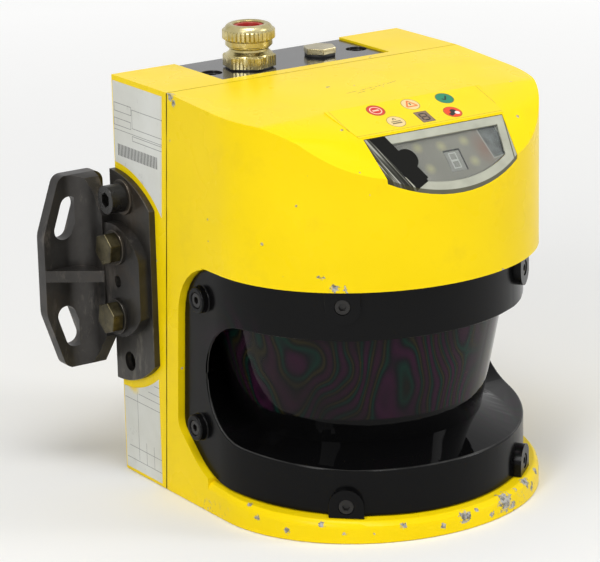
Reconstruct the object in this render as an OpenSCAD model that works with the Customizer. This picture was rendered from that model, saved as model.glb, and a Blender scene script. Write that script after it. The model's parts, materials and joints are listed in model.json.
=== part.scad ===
/* [Housing] */
// Width of the housing
body_w = 155; // [150:1:160]
// Height of the housing
body_h = 185; // [180:1:190]
// Distance from the scan axis back to the rear face
axis_to_rear = 75; // [72:1:80]
// Depth of the rear housing at its top edge
rear_depth_top = 47; // [44:1:50]
// Depth of the rear housing at its base
rear_depth_base = 35; // [33:1:38]
// Distance from the scan axis forward to the end of the straight sides
side_end = 10.6; // [8:0.2:12]
// Length of the rounded nose in front of the straight sides
nose = 70.5; // [68:0.5:73]
// Wall of both castings
wall = 5; // [4:0.5:6]
// Thickness of the seal between the castings
seam_seal_t = 0.6; // [0.4:0.1:1]
// Height of the underside of the hood
hood_z = 112; // [110:1:115]
// Thickness of the base plate
base_t = 6; // [5:0.5:8]
// Fall of the roof towards the front
roof_angle = 2; // [1:0.5:3]
// Tilt of the icon panel
panel_angle = 19.5; // [17:0.5:22]
// Tilt of the display window
window_angle = 47; // [45:0.2:52]
// Depth of the upper edge of the display window below the top of the housing
window_drop = 10; // [9:0.5:12]
// Distance of that edge in front of the scan axis
window_y = 60.3; // [58:0.3:62]
// Half width of the level middle of the roof
crest_half = 45; // [43:0.5:47]
// Height at which the sides of the roof turn down, below the top
shoulder_drop = 5.1; // [4:0.1:6]
// Radius of that turn
shoulder_r = 22; // [18:1:24]

/* [Optics cover] */
// How far the face of the cover lies behind the face of the hood
cover_inset = 3; // [2:0.5:4]
// Wall of the cover
cover_wall = 3; // [2.5:0.5:3.5]
// Gap between the edge of the cover and the recess that it sits in
cover_gap = 0.4; // [0.3:0.1:0.6]
// Thickness of the seal behind the cover
cover_seal_t = 1; // [0.8:0.1:1.5]
// Height of the upper edge of the scan opening
opening_top = 88.6; // [87:0.2:91]
// Height of the lower edge of the scan opening beside the axis
opening_base = 36; // [35:0.5:38]
// Distance of the rear edge of the scan opening behind the scan axis
opening_back = 7.1; // [5:0.1:8]
// Radius of the corners of the scan opening
opening_r = 25.5; // [20:0.5:25.5]
// Radius of the screen at its upper edge
screen_r_top = 66; // [64:0.5:67]
// Radius of the screen where it meets the sloping ring
screen_r_low = 55.9; // [54:0.1:57]
// Height at which the screen meets the sloping ring
ring_z = 36.7; // [36:0.1:38]
// Radius of the round bosses for the cover screws
boss_r = 5.9; // [5:0.1:6.5]
// Radius of the raised tabs for the front cover screws
tab_r = 7.7; // [7:0.1:8.5]
// Half distance between the front cover screws
front_screw_x = 46.5; // [44:0.5:49]
// Diameter of the cover screws
cover_screw_d = 4; // [3:0.5:5]

/* [Connector plate] */
// Width of the connector plate
plate_w = 89; // [84:1:94]
// Depth of the connector plate
plate_depth = 40.3; // [38:0.1:42]
// Thickness of the connector plate
plate_t = 8; // [7:0.5:9]
// How far the plate lies below the top of the housing
plate_sink = 1; // [0.5:0.1:2]
// Distance of the plate screws from the ends of the plate
plate_screw_inset = 5.5; // [5:0.5:6.5]
// Half distance between the gland and the blanking plug
gland_x = 19; // [18:0.5:20]
// Thread of the cable gland
gland_thread = 20; // [16:1:20]
// Width across flats of the cable gland
gland_af = 22; // [21:0.5:24]
// Width of the cable hole through the gland seal
cable_d = 10; // [8:0.5:12]
// Thread of the blanking plug
plug_thread = 12; // [10:1:12]

/* [Bracket] */
// Height of the bracket centre
bracket_z = 93.5; // [90:0.5:97]
// Distance of the tilt axis in front of the rear face
tilt_inset = 12; // [11:0.5:13]
// Thickness of the side plate
side_plate_t = 3; // [2.5:0.5:4]
// Radius of the round ends of the side plate
side_plate_r = 49; // [46:1:52]
// Depth of the side plate
side_plate_depth = 33.4; // [31:0.1:36]
// Half distance between the side plate screws
side_screw_z = 38.4; // [38:0.1:39]
// Half distance between the clamp bolts
clamp_z = 16; // [15:0.5:17]
// Thickness of the bracket arm
arm_t = 4.8; // [4:0.2:6]
// Thickness of the wall flange
flange_t = 6.5; // [5:0.5:8]
// Distance of the wall flange behind the rear face
flange_gap = 14.2; // [13:0.2:16]
// Half height of the wall flange
flange_half = 45; // [43:1:48]
// How far the wall flange reaches out past the side of the housing
flange_reach = 30; // [28:0.5:33]
// Width of the wall slots
slot_w = 9; // [8:0.5:9]
// Length between the end centres of the wall slots
slot_l = 11.2; // [10:0.2:12]
// Largest tilt of the bracket either way
tilt_max = 8; // [6:1:8]

/* [Scan head] */
// Height of the scan plane
scan_z = 64; // [62:1:66]
// Diameter of the motor
motor_d = 50; // [44:1:54]
// Height of the motor above the base plate
motor_h = 20; // [16:1:22]
// Diameter of the motor shaft
shaft_d = 6; // [5:0.5:8]
// Diameter of the receiver lens
lens_d = 54; // [50:1:58]

/* [Hidden] */

$fn = 48;
eps = 0.01;
// Segments of the rounded nose
nose_steps = 48;
// Running and fitting clearances
fit = 0.2;
slide = 0.3;

half_w = body_w / 2;
window_z = body_h - window_drop;
rear_y = axis_to_rear;
function seam_y(z) = rear_y - rear_depth_base - (rear_depth_top - rear_depth_base) * z / body_h;

// Outline of the housing seen from above, moved inwards by inset
function plan(inset, nose_inset, back) = concat(
    [[half_w - inset, back]],
    [for (i = [0:nose_steps]) let (t = -180 * i / nose_steps)
        [(half_w - inset) * cos(t), -side_end + (nose - nose_inset) * sin(t)]],
    [[inset - half_w, back]]);

// Polygon with each corner [x, y, radius] rounded by an arc
function unit(v) = v / norm(v);
function arc_corner(a, b, c, r, steps) = r == 0 ? [b] :
    let (u = unit(a - b), v = unit(c - b), half = acos(u * v) / 2,
        start = b + u * r / tan(half), end = b + v * r / tan(half),
        mid = b + unit(u + v) * r / sin(half),
        a1 = atan2(start.y - mid.y, start.x - mid.x),
        a2 = atan2(end.y - mid.y, end.x - mid.x),
        turn = (a2 - a1 + 540) % 360 - 180)
    [for (i = [0:steps]) mid + r * [cos(a1 + turn * i / steps), sin(a1 + turn * i / steps)]];
function rounded(corners, steps = 8) = let (n = len(corners), p = [for (k = corners) [k.x, k.y]])
    [for (i = [0:n - 1]) each arc_corner(p[(i + n - 1) % n], p[i], p[(i + 1) % n],
        corners[i][2], steps)];

// Extrusion of a side profile, given as [y, z], from x0 to x1
module across(x0, x1) {
    translate([x0, 0, 0]) rotate([90, 0, 90]) linear_extrude(x1 - x0) children();
}
// Extrusion of a front profile, given as [x, z], from y0 to y1
module lengthwise(y0, y1) {
    translate([0, y1, 0]) rotate([90, 0, 0]) linear_extrude(y1 - y0) children();
}
module prism(inset, z0, z1) {
    translate([0, 0, z0]) linear_extrude(z1 - z0) polygon(plan(inset, inset, 100));
}
// Outline of the optics cover, round about the scan axis with straight sides behind it
cover_r = half_w - cover_inset;
cover_steps = 60;
module cover_prism(inset, z0, z1) {
    r = cover_r - inset;
    translate([0, 0, z0]) linear_extrude(z1 - z0) polygon(concat([[r, 100]],
        [for (i = [0:cover_steps]) let (t = -180 * i / cover_steps) [r * cos(t), r * sin(t)]],
        [[-r, 100]]));
}
// Round bar along X from x0 to x1
module bar_x(d, x0, x1, y, z) {
    translate([x0, y, z]) rotate([0, 90, 0]) cylinder(d = d, h = x1 - x0);
}
// Round bar along Y from y0 to y1
module bar_y(d, y0, y1, x, z) {
    translate([x, y1, z]) rotate([90, 0, 0]) cylinder(d = d, h = y1 - y0);
}
module hexagon(af, h) {
    cylinder(d = af / cos(30), h = h, $fn = 6);
}
module mirrored_x() {
    children();
    mirror([1, 0, 0]) children();
}

// ---- housing ------------------------------------------------------------

// Everything in front of the seam, moved forwards by back_off
module front_side(back_off) {
    across(-half_w - 5, half_w + 5) polygon([[-120, -1], [seam_y(-1) - back_off, -1],
        [seam_y(body_h + 1) - back_off, body_h + 1], [-120, body_h + 1]]);
}
// Everything behind the seam, moved forwards by off
module rear_side(off) {
    across(-half_w - 5, half_w + 5) polygon([[seam_y(-1) - off, -1], [rear_y + 50, -1],
        [rear_y + 50, body_h + 1], [seam_y(body_h + 1) - off, body_h + 1]]);
}
module rear_block(inset, top, bottom, front_off, back) {
    across(inset - half_w, half_w - inset) polygon([[seam_y(bottom) + front_off, bottom],
        [back, bottom], [back, top], [seam_y(top) + front_off, top]]);
}

plate_z = body_h - plate_sink;
plate_screw_x = plate_w / 2 - plate_screw_inset;
ledge_z = plate_z - plate_t;
plate_front = rear_y - plate_depth;
well_half = plate_screw_x - 6;
well_front = plate_front + 7;
well_back = rear_y - 7;
housing_screw_x = half_w - 11;
housing_screw_low = 14;
housing_screw_high = body_h - 22;
screw_m5 = 5;
screw_m8 = 8;
head_m5 = 8.5;
counterbore = 6;
screw_m3 = 3;
head_m3 = 5.5;
head_sink = 3.2;
motor_screw_r = 18;
module at_motor_screws() {
    for (a = [30, 150, 270]) rotate([0, 0, a]) translate([motor_screw_r, 0, 0]) children();
}

plate_screw_y = rear_y - plate_depth / 2 - 2;
seal_groove = 0.8;
seal_band = 2;
module well(margin) {
    translate([-well_half, well_front, ledge_z - wall - margin])
        cube([2 * well_half, well_back - well_front, wall + 2 * margin]);
}
// Frame around the well, in a groove under the connector plate
module plate_seal_shape() {
    translate([0, 0, ledge_z - seal_groove]) linear_extrude(seal_groove) difference() {
        translate([-well_half - 1 - seal_band, well_front - 1 - seal_band])
            square([2 * (well_half + 1 + seal_band), well_back - well_front + 2 + 2 * seal_band]);
        translate([-well_half - 1, well_front - 1])
            square([2 * (well_half + 1), well_back - well_front + 2]);
    }
}
housing_post_d = 14;
front_post_y = 16;
module at_housing_screws() {
    for (x = [-housing_screw_x, housing_screw_x], z = [housing_screw_low, housing_screw_high])
        translate([x, 0, z]) children();
}

tilt_y = rear_y - tilt_inset;
pin_d = 5;
boss_d = 17;
boss_l = 11;

boss_end = -half_w + wall + boss_l;
side_screw_zs = [bracket_z - side_screw_z, bracket_z + side_screw_z];
clamp_zs = [bracket_z - clamp_z, bracket_z + clamp_z];

module rear_housing() {
    color("gold") difference() {
        union() {
            difference() {
                rear_block(0, body_h, 0, 0, rear_y);
                rear_block(wall, body_h - wall, wall, -20, rear_y - wall);
            }
            // Floor of the recess for the connector plate, with its well
            difference() {
                translate([-half_w + wall / 2, plate_front - 2, ledge_z - wall])
                    cube([body_w - wall, rear_y - plate_front + 2 - wall / 2, wall + 2]);
                well(1);
            }
            for (z = concat(side_screw_zs, clamp_zs))
                bar_x(boss_d, -half_w + wall / 2, boss_end, tilt_y, z);
            at_housing_screws() bar_y(housing_post_d, 0, rear_y - wall / 2, 0, 0);
        }
        translate([-plate_w / 2 - fit, plate_front - fit, ledge_z])
            cube([plate_w + 2 * fit, plate_depth + 10, plate_t + 10]);
        well(1);
        plate_seal_shape();
        for (x = [-1, 1])
            translate([x * plate_screw_x, plate_screw_y, ledge_z - wall - 1])
                cylinder(d = screw_m5, h = wall + 2);
        for (z = concat(side_screw_zs, clamp_zs))
            bar_x(screw_m8, -half_w - 1, boss_end + 1, tilt_y, z);
        bar_x(pin_d, -half_w - 1, -half_w + wall + 1, tilt_y, bracket_z);
        at_housing_screws() {
            bar_y(screw_m5 + 2 * fit, 0, rear_y + 1, 0, 0);
            bar_y(head_m5 + 1, rear_y - counterbore, rear_y + 1, 0, 0);
        }
        front_side(-seam_seal_t / 2);
    }
}

// Long sections of the roof: along its middle, and along its sides
seam_top_y = seam_y(body_h);
bend_y = (window_z + window_y * tan(panel_angle) - body_h + seam_top_y * tan(roof_angle))
    / (tan(roof_angle) - tan(panel_angle));
bend_z = body_h - (seam_top_y - bend_y) * tan(roof_angle);
bend_r = 20;
bend_half = crest_half - 3.5;
nose_y = side_end + nose;
// Lower front corner of the window plane, just outside the nose
window_end_y = -nose_y - 4;
window_end_z = window_z - (-window_y - window_end_y) * tan(window_angle);
crest_end = 31.5;
window_half = 37.5;
shoulder_y = -50;
function crest(stop) = rounded([[seam_top_y + 40, 0, 0], [seam_top_y + 40, body_h, 0],
    [seam_top_y, body_h, 0], if (stop == 0) [bend_y, bend_z, 0], if (stop > 0) [bend_y, bend_z,
    bend_r], if (stop > 0) [-window_y, window_z, 0], if (stop > 1) [window_end_y, window_end_z, 0],
    [stop == 0 ? bend_y : stop == 1 ? -window_y : window_end_y, 0, 0]]);
function shoulder() = rounded([[seam_top_y + 40, 0, 0], [seam_top_y + 40, body_h, 0],
    [seam_top_y, body_h, 0], [shoulder_y, body_h - shoulder_drop, shoulder_r],
    [shoulder_y - 14, hood_z, 0], [shoulder_y - 14, 0, 0]]);

// Body bounded by the roof, its sides and its sloping front
module roof_form(drop = 0) {
    rib_t = 0.1;
    translate([0, 0, -drop]) hull() for (s = [-1, 1]) {
        translate([s * crest_half - rib_t / 2, seam_top_y, 0]) cube([rib_t, 40, body_h]);
        translate([s * bend_half - rib_t / 2, 0, 0]) across(0, rib_t) polygon(crest(0));
        translate([s * window_half - rib_t / 2, 0, 0]) across(0, rib_t) polygon(crest(1));
        translate([s * crest_end - rib_t / 2, 0, 0]) across(0, rib_t) polygon(crest(2));
        translate([s * half_w - rib_t / 2, 0, 0]) across(0, rib_t) polygon(shoulder());
    }
}

// Recess for the optics cover, seen from the side and made smaller by d
recess_rear = 9.7;
recess_base = 13.6;
recess_fall = 6.2;
module recess_profile(d = 0) {
    polygon(rounded([[-100, recess_base - recess_fall + d, 0], [6 - d / 2, recess_base + d, 40],
        [seam_y(34) - recess_rear - d, 34 + d / 2, 8],
        [seam_y(hood_z) - recess_rear - d, hood_z - d, 27 - d], [-100, hood_z - d, 0]]));
}
// Rounded rim of the base round the foot of the cover, sloping down to the front
crest_back = 6;
crest_tilt = atan(recess_fall / (100 + crest_back));
crest_edge = [2.9, 5.5, 4];
module base_crest() {
    top = recess_base - crest_back * tan(crest_tilt) + 0.3;
    hull() {
        linear_extrude(1) polygon(plan(0, 0, crest_back));
        rotate([crest_tilt, 0, 0]) for (a = [0, 30, 60, 90])
            translate([0, 0.5, top - crest_edge.z * (1 - sin(a)) - 0.1]) linear_extrude(0.1)
                polygon(plan(crest_edge.x * (1 - cos(a)), crest_edge.y * (1 - cos(a)),
                    crest_back));
    }
}
// Scan opening, seen from the side and made larger by d
opening_fall = 0.094;
module opening_profile(d = 0) {
    polygon(rounded([[-120, opening_base - 120 * opening_fall - d, 0],
        [opening_back + d, opening_base + opening_back * opening_fall - d, opening_r],
        [opening_back + d, opening_top + d, opening_r], [-120, opening_top + d, 0]]));
}
// Slanting ends of the opening, between the cover's face and the screen
tunnel_in = 24;
tunnel_back = 0.97;
tunnel_rise = 0.2;
module tunnel_section(in, d) {
    low = opening_base + tunnel_rise * in - d;
    back = opening_back + tunnel_back * in + d * norm([1, tunnel_back]);
    r = (opening_top + d - low) / 2 - eps;
    translate([cover_r - in, 0, 0]) across(-eps, eps) polygon(rounded([[-40, low, 0],
        [back, low, r], [back, opening_top + d, r], [-40, opening_top + d, 0]]));
}
module scan_gap(d) {
    across(-half_w - 5, half_w + 5) opening_profile(d);
    mirrored_x() hull() for (in = [0, tunnel_in]) tunnel_section(in, d);
}
// Screen and the sloping ring round its foot, made smaller by d
ring_slope = 0.35;
module screen_core(d) {
    far = 95;
    rotate_extrude($fn = 128) polygon([[0, -10], [far, -10],
        [far, ring_z - d - (far - screen_r_low) * ring_slope], [screen_r_low - d, ring_z - d],
        [screen_r_top - d, opening_top], [screen_r_top - d, body_h], [0, body_h]]);
}
cover_clear = 1.5;
cover_seal_w = 5;
cover_head_d = 6.5;
head_deep = 3;
boss_proud = 3.5;
tab_proud = 3;
screw_depth = 8;
seat_inset = cover_wall + cover_seal_t;
seat_wall = 5;
floor_t = 4;
lens_hole_d = lens_d + 8;

// Place of the display window: X across, Y up its slope, Z out of its face
module window_frame() {
    translate([0, -window_y, window_z]) rotate([window_angle, 0, 0]) children();
}
window_len = 40;
function window_shape(d) = [[-window_half + 1.3 + d, -d], [window_half - 1.3 - d, -d],
    [crest_end - d, -window_len], [-crest_end + d, -window_len]];
module window_block(d, z0, z1) {
    intersection() {
        window_frame() translate([0, 0, z0]) linear_extrude(z1 - z0) polygon(window_shape(d));
        prism(max(d, 0), hood_z, body_h);
    }
}
window_t = 1.5;
pocket_rim = 4;
pocket_depth = 11;
pocket_floor = 2;
lamp_board_z = -9.4;
mask_t = 1;
film_t = 0.25;
film_half = 40.6;
film_len = 20.5;

front_screw_y = -sqrt(pow(cover_r, 2) - pow(front_screw_x, 2));
front_screw_turn = asin(front_screw_x / cover_r);
front_screw_zs = [15, 104.4];
side_screws = [[13.5, 36.6], [9, 96.3]];

// Children stand on the cover's face at each front screw, with +Z pointing out
module at_front_screws(zs = front_screw_zs) {
    for (s = [-1, 1], z = zs)
        translate([s * front_screw_x, front_screw_y, z])
            rotate([0, 0, s * front_screw_turn]) rotate([90, 0, 0]) children();
}
module at_side_screws() {
    for (s = [-1, 1], p = side_screws)
        translate([s * cover_r, p.x, p.y]) rotate([0, s * 90, 0]) children();
}
module cover_drill(d, from, to) {
    at_front_screws() translate([0, 0, from]) cylinder(d = d, h = to - from);
    at_side_screws() translate([0, 0, from]) cylinder(d = d, h = to - from);
}

module front_housing() {
    color("gold") difference() {
        union() {
            intersection() {
                union() {
                    difference() {
                        union() {
                            prism(0, hood_z, body_h);
                            cover_prism(seat_inset, 0, hood_z + 1);
                            translate([-half_w, crest_back - 2, 0])
                                cube([body_w, rear_y - crest_back, body_h]);
                            base_crest();
                        }
                        // Recess for the cover, down to the seat of its seal
                        difference() {
                            across(-half_w - 5, half_w + 5) recess_profile();
                            cover_prism(seat_inset, -1, body_h + 1);
                        }
                        // Space inside the hood
                        intersection() {
                            prism(wall, hood_z + floor_t, body_h);
                            roof_form(wall);
                        }
                        // Space behind the cover
                        cover_prism(seat_inset + seat_wall, base_t, hood_z);
                        scan_gap(cover_wall + cover_clear);
                        translate([0, 0, hood_z - 1]) cylinder(d = lens_hole_d, h = floor_t + 2);
                    }
                    window_block(-2, -pocket_depth - pocket_floor, 0);
                }
                roof_form();
            }
            intersection() {
                prism(1, 0, body_h);
                at_housing_screws() bar_y(housing_post_d, front_post_y, rear_y, 0, 0);
            }
        }
        window_block(0, -window_t, 10);
        window_block(pocket_rim, -pocket_depth, 0);
        at_housing_screws() bar_y(screw_m5, front_post_y + 4, rear_y, 0, 0);
        cover_drill(cover_screw_d, -screw_depth - 1, 5);
        at_motor_screws() {
            translate([0, 0, -1]) cylinder(d = screw_m3 + 2 * fit, h = base_t + 2);
            translate([0, 0, -1]) cylinder(d = head_m3 + 2 * slide, h = head_sink + 1);
        }
        rear_side(seam_seal_t / 2);
    }
}

module housing_seal() {
    color("dimgray") difference() {
        rear_block(0.5, body_h - 0.5, 0.5, -seam_seal_t / 2, rear_y);
        rear_block(wall, body_h - wall, wall, -20, rear_y);
        rear_side(-seam_seal_t / 2);
    }
}

module housing_screws() {
    color("silver") at_housing_screws() difference() {
        union() {
            bar_y(screw_m5, front_post_y + 6, rear_y - 2, 0, 0);
            bar_y(head_m5, rear_y - counterbore, rear_y - 1, 0, 0);
        }
        translate([0, rear_y, 0]) rotate([90, 0, 0]) hexagon(4, 3.5);
    }
}

// ---- optics cover ---------------------------------------------------------

module optics_cover() {
    color([0.06, 0.06, 0.07]) difference() {
        union() {
            difference() {
                intersection() {
                    cover_prism(0, 0, hood_z);
                    across(-half_w, half_w) recess_profile(cover_gap);
                }
                difference() {
                    scan_gap(0);
                    screen_core(0);
                }
                difference() {
                    cover_prism(cover_wall, -1, body_h);
                    difference() {
                        scan_gap(cover_wall);
                        screen_core(cover_wall);
                    }
                }
            }
            at_side_screws() translate([0, 0, -cover_wall]) cylinder(r = boss_r,
                h = cover_wall + boss_proud);
            intersection() {
                union() {
                    at_front_screws([front_screw_zs[0]]) front_tab(-1);
                    at_front_screws([front_screw_zs[1]]) front_tab(1);
                }
                across(-half_w, half_w) recess_profile(cover_gap);
                difference() {
                    cover_prism(-5, 0, hood_z);
                    cover_prism(cover_wall, -1, body_h);
                }
            }
        }
        cover_drill(cover_screw_d + 2 * fit, -8, 8);
        at_side_screws() translate([0, 0, boss_proud - head_deep])
            cylinder(d = cover_head_d + 2 * fit, h = 8);
        at_front_screws() translate([0, 0, tab_proud - head_deep])
            cylinder(d = cover_head_d + 2 * fit, h = 8);
    }
}

module front_tab(way) {
    translate([0, 0, -cover_wall / 2]) linear_extrude(cover_wall / 2 + tab_proud) {
        circle(tab_r);
        translate([-tab_r, way < 0 ? -20 : 0]) square([2 * tab_r, 20]);
    }
}

module cover_seal() {
    color("black") difference() {
        intersection() {
            cover_prism(cover_wall, 0, hood_z);
            across(-half_w, half_w) recess_profile(cover_gap + 1);
        }
        cover_prism(seat_inset, -1, body_h);
        across(-half_w, half_w) recess_profile(cover_gap + 1 + cover_seal_w);
        cover_drill(cover_screw_d + 4 * fit, -9, 5);
    }
}

module cover_screws() {
    color("dimgray") {
        at_side_screws() cover_screw(boss_proud);
        at_front_screws() cover_screw(tab_proud);
    }
}
module cover_screw(proud) {
    difference() {
        translate([0, 0, -screw_depth]) {
            cylinder(d = cover_screw_d, h = screw_depth + proud - 1);
            translate([0, 0, screw_depth + proud - head_deep]) cylinder(d = cover_head_d,
                h = head_deep - 0.4);
        }
        translate([0, 0, proud - 2]) hexagon(3, 3);
    }
}

// ---- display -----------------------------------------------------------------

module display_window() {
    color([0.8, 0.85, 0.8, 0.6]) window_block(fit, -window_t, 0);
}

module window_mask() {
    color([0.05, 0.05, 0.06]) difference() {
        window_block(pocket_rim + slide, -window_t - mask_t, -window_t);
        window_frame() translate([0, 0, -5]) linear_extrude(5) window_view();
    }
}
// Clear part of the mask
module window_view() {
    polygon(rounded([[-20, -5.5, 3], [27, -5.5, 3], [24, -19.5, 3], [-16, -19.5, 3]]));
}

module indicator_board() {
    color("seagreen") window_block(pocket_rim + slide + 0.5, -pocket_depth, lamp_board_z);
}

digit_x = 1;
module digit_display() {
    color([0.75, 0.74, 0.7]) window_frame() translate([digit_x, -18.5, lamp_board_z])
        cube([7.5, 11.5, 5.8]);
}

module status_lamps() {
    color("khaki") window_frame() for (x = [-15, -10, 10, 15.5, 21])
        translate([x, -12.5, lamp_board_z]) {
            cylinder(d = 3, h = 3);
            translate([0, 0, 3]) sphere(d = 3);
        }
}

module icon_film() {
    color([0.95, 0.86, 0.1]) translate([0, -window_y, window_z]) rotate([panel_angle, 0, 0])
        linear_extrude(film_t) polygon([[-window_half, 1], [window_half, 1],
            [film_half, film_len], [-film_half, film_len]]);
}

// ---- connector plate -----------------------------------------------------------

module connector_plate() {
    color([0.12, 0.12, 0.13]) difference() {
        translate([-plate_w / 2, plate_front, ledge_z])
            cube([plate_w, plate_depth, plate_t]);
        for (x = [-1, 1]) translate([x * plate_screw_x, plate_screw_y, ledge_z]) {
            translate([0, 0, -1]) cylinder(d = screw_m5 + 2 * fit, h = plate_t + 2);
            translate([0, 0, plate_t - plate_bore]) cylinder(d = head_m5 + 1, h = plate_t);
        }
        translate([-gland_x, plate_screw_y, ledge_z - 1]) cylinder(d = gland_thread,
            h = plate_t + 2);
        translate([gland_x, plate_screw_y, ledge_z - 1]) cylinder(d = plug_thread,
            h = plate_t + 2);
    }
}

module plate_seal() {
    color("black") plate_seal_shape();
}

plate_bore = 5.5;
module plate_screws() {
    color("dimgray") for (x = [-1, 1]) translate([x * plate_screw_x, plate_screw_y,
        plate_z - plate_bore]) difference() {
        union() {
            translate([0, 0, -plate_t - 1]) cylinder(d = screw_m5, h = plate_t + 2);
            cylinder(d = head_m5, h = plate_bore - 1);
        }
        translate([0, 0, 1.5]) hexagon(4, plate_bore);
    }
}

plug_box = [60, 21, 26];
plug_wall = 2;
module plug_housing() {
    color("dimgray") translate([-plug_box.x / 2, plate_screw_y - plug_box.y / 2,
        ledge_z - plug_box.z]) difference() {
        cube(plug_box);
        translate([plug_wall, plug_wall, plug_wall]) cube([plug_box.x - 2 * plug_wall,
            plug_box.y - 2 * plug_wall, plug_box.z]);
    }
}

strip = [46, 9, 11];
module terminal_strip() {
    color("forestgreen") translate([-strip.x / 2, plate_screw_y - strip.y / 2,
        ledge_z - plug_box.z + plug_wall]) difference() {
        cube(strip);
        for (i = [0:7]) translate([3 + i * strip.x / 8, strip.y / 2, strip.z - 6])
            cylinder(d = 3.4, h = 7);
    }
}

// ---- cable gland and plug ------------------------------------------------------

washer_t = 0.8;
body_top = 5.6;
neck_d = 19.6;
neck_top = 9.1;
cable_bore = 11;
collar_r = 11.15;
grip_low = 12.9;
grip_r = 12.25;
grip_top = 17.2;
dome_r = 4;
rim_r = 7;
insert_d = 13.7;
insert_h = 4.8;
module at_gland() {
    translate([-gland_x, plate_screw_y, plate_z]) children();
}
module gland_washer() {
    color("black") at_gland() difference() {
        cylinder(d = gland_af - 0.6, h = washer_t);
        translate([0, 0, -1]) cylinder(d = gland_thread, h = 3);
    }
}
module gland_body() {
    color([0.75, 0.65, 0.3]) at_gland() difference() {
        union() {
            translate([0, 0, -plate_t]) cylinder(d = gland_thread, h = plate_t + 1);
            intersection() {
                translate([0, 0, washer_t]) hexagon(gland_af, body_top - washer_t);
                cylinder(d = gland_af + 1.9, h = body_top);
            }
            cylinder(d = neck_d, h = neck_top);
            cylinder(d = neck_d - 3.2, h = neck_top + 5);
        }
        translate([0, 0, -plate_t - 1]) cylinder(d = cable_bore, h = plate_t + neck_top + 7);
    }
}
// Nut with ribs round its grip
module gland_nut() {
    color([0.78, 0.68, 0.32]) at_gland() difference() {
        union() {
            rotate_extrude() polygon(concat([[0, neck_top], [collar_r, neck_top],
                [collar_r, grip_low], [grip_r - 0.5, grip_low + 0.3], [grip_r - 0.5, grip_top]],
                [for (i = [0:8]) let (t = 90 * i / 8) [rim_r + dome_r * cos(t),
                    grip_top - 1.2 + dome_r * sin(t)]], [[0, grip_top - 1.2 + dome_r]]));
            for (i = [0:23]) rotate([0, 0, i * 15]) translate([grip_r - 0.55, 0, grip_low + 0.5])
                cylinder(d = 1.8, h = grip_top - grip_low - 0.9);
        }
        translate([0, 0, neck_top - 1]) cylinder(d = neck_d - 3.2 + 2 * fit, h = 7);
        translate([0, 0, neck_top + 5]) cylinder(d = insert_d, h = 20);
    }
}
module gland_insert() {
    color([0.7, 0.08, 0.08]) at_gland() difference() {
        translate([0, 0, neck_top + 5]) cylinder(d = insert_d, h = insert_h);
        translate([0, 0, neck_top]) cylinder(d = cable_d, h = 20);
    }
}
module blanking_plug() {
    color([0.8, 0.76, 0.62]) translate([gland_x, plate_screw_y, plate_z]) {
        translate([0, 0, -plate_t]) cylinder(d = plug_thread, h = plate_t + 1.2);
        translate([0, 0, 1.2]) rotate([0, 0, 8]) hexagon(13.4, 2.8);
    }
}
module blanking_plug_ring() {
    color("black") translate([gland_x, plate_screw_y, plate_z]) difference() {
        cylinder(d = 14, h = 1.2);
        translate([0, 0, -1]) cylinder(d = plug_thread, h = 3);
    }
}

// ---- labels ---------------------------------------------------------------------

label_t = 0.2;
label_gap = 3;
label_z = body_h - 2.4;
lower_label_w = 30.7;
label_back = 0.9;
label_front = 4;
module upper_label() {
    color("whitesmoke") across(-half_w - label_t, -half_w) difference() {
        polygon([for (z = [bracket_z, label_z]) [seam_y(z) + label_front, z],
            [rear_y - label_back, label_z], [rear_y - label_back, bracket_z]]);
        translate([rear_y, bracket_z]) circle(side_plate_r + label_gap, $fn = 96);
    }
}
module lower_label() {
    label_edge = rear_y - label_back - lower_label_w;
    color("whitesmoke") across(-half_w - label_t, -half_w) difference() {
        polygon([[label_edge, 1.5], [rear_y - label_back, 1.5],
            [rear_y - label_back, bracket_z], [label_edge, bracket_z]]);
        translate([rear_y, bracket_z]) circle(side_plate_r + label_gap + 1, $fn = 96);
    }
}

// ---- side plate and wall bracket ---------------------------------------------------

plate_face = -half_w - side_plate_t;
module side_plate() {
    color([0.3, 0.28, 0.27]) difference() {
        intersection() {
            bar_x(2 * side_plate_r, plate_face, -half_w, rear_y, bracket_z);
            translate([plate_face - 1, rear_y - side_plate_depth, 0])
                cube([side_plate_t + 2, side_plate_depth, body_h]);
        }
        for (z = side_screw_zs) bar_x(screw_m8 + 1, plate_face - 1, 0, tilt_y, z);
        for (z = clamp_zs) bar_x(screw_m8 + 1, plate_face - 1, 0, tilt_y, z);
        bar_x(pin_d, plate_face - 1, 0, tilt_y, bracket_z);
    }
}

m8_washer_d = 16;
m8_washer_t = 1.6;
module m8_washer(x, z) {
    difference() {
        bar_x(m8_washer_d, x - m8_washer_t, x, tilt_y, z);
        bar_x(screw_m8 + 2 * fit, x - m8_washer_t - 1, x + 1, tilt_y, z);
    }
}
module side_plate_washer() {
    color([0.3, 0.28, 0.27]) m8_washer(plate_face, side_screw_zs[1]);
}
module side_plate_screw() {
    head_x = plate_face - m8_washer_t;
    color([0.25, 0.23, 0.22]) difference() {
        union() {
            bar_x(screw_m8, head_x, -half_w + 10, tilt_y, side_screw_zs[1]);
            bar_x(13, head_x - 8, head_x, tilt_y, side_screw_zs[1]);
        }
        translate([head_x - 9, tilt_y, side_screw_zs[1]]) rotate([0, 90, 0]) hexagon(6, 5);
    }
}

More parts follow.
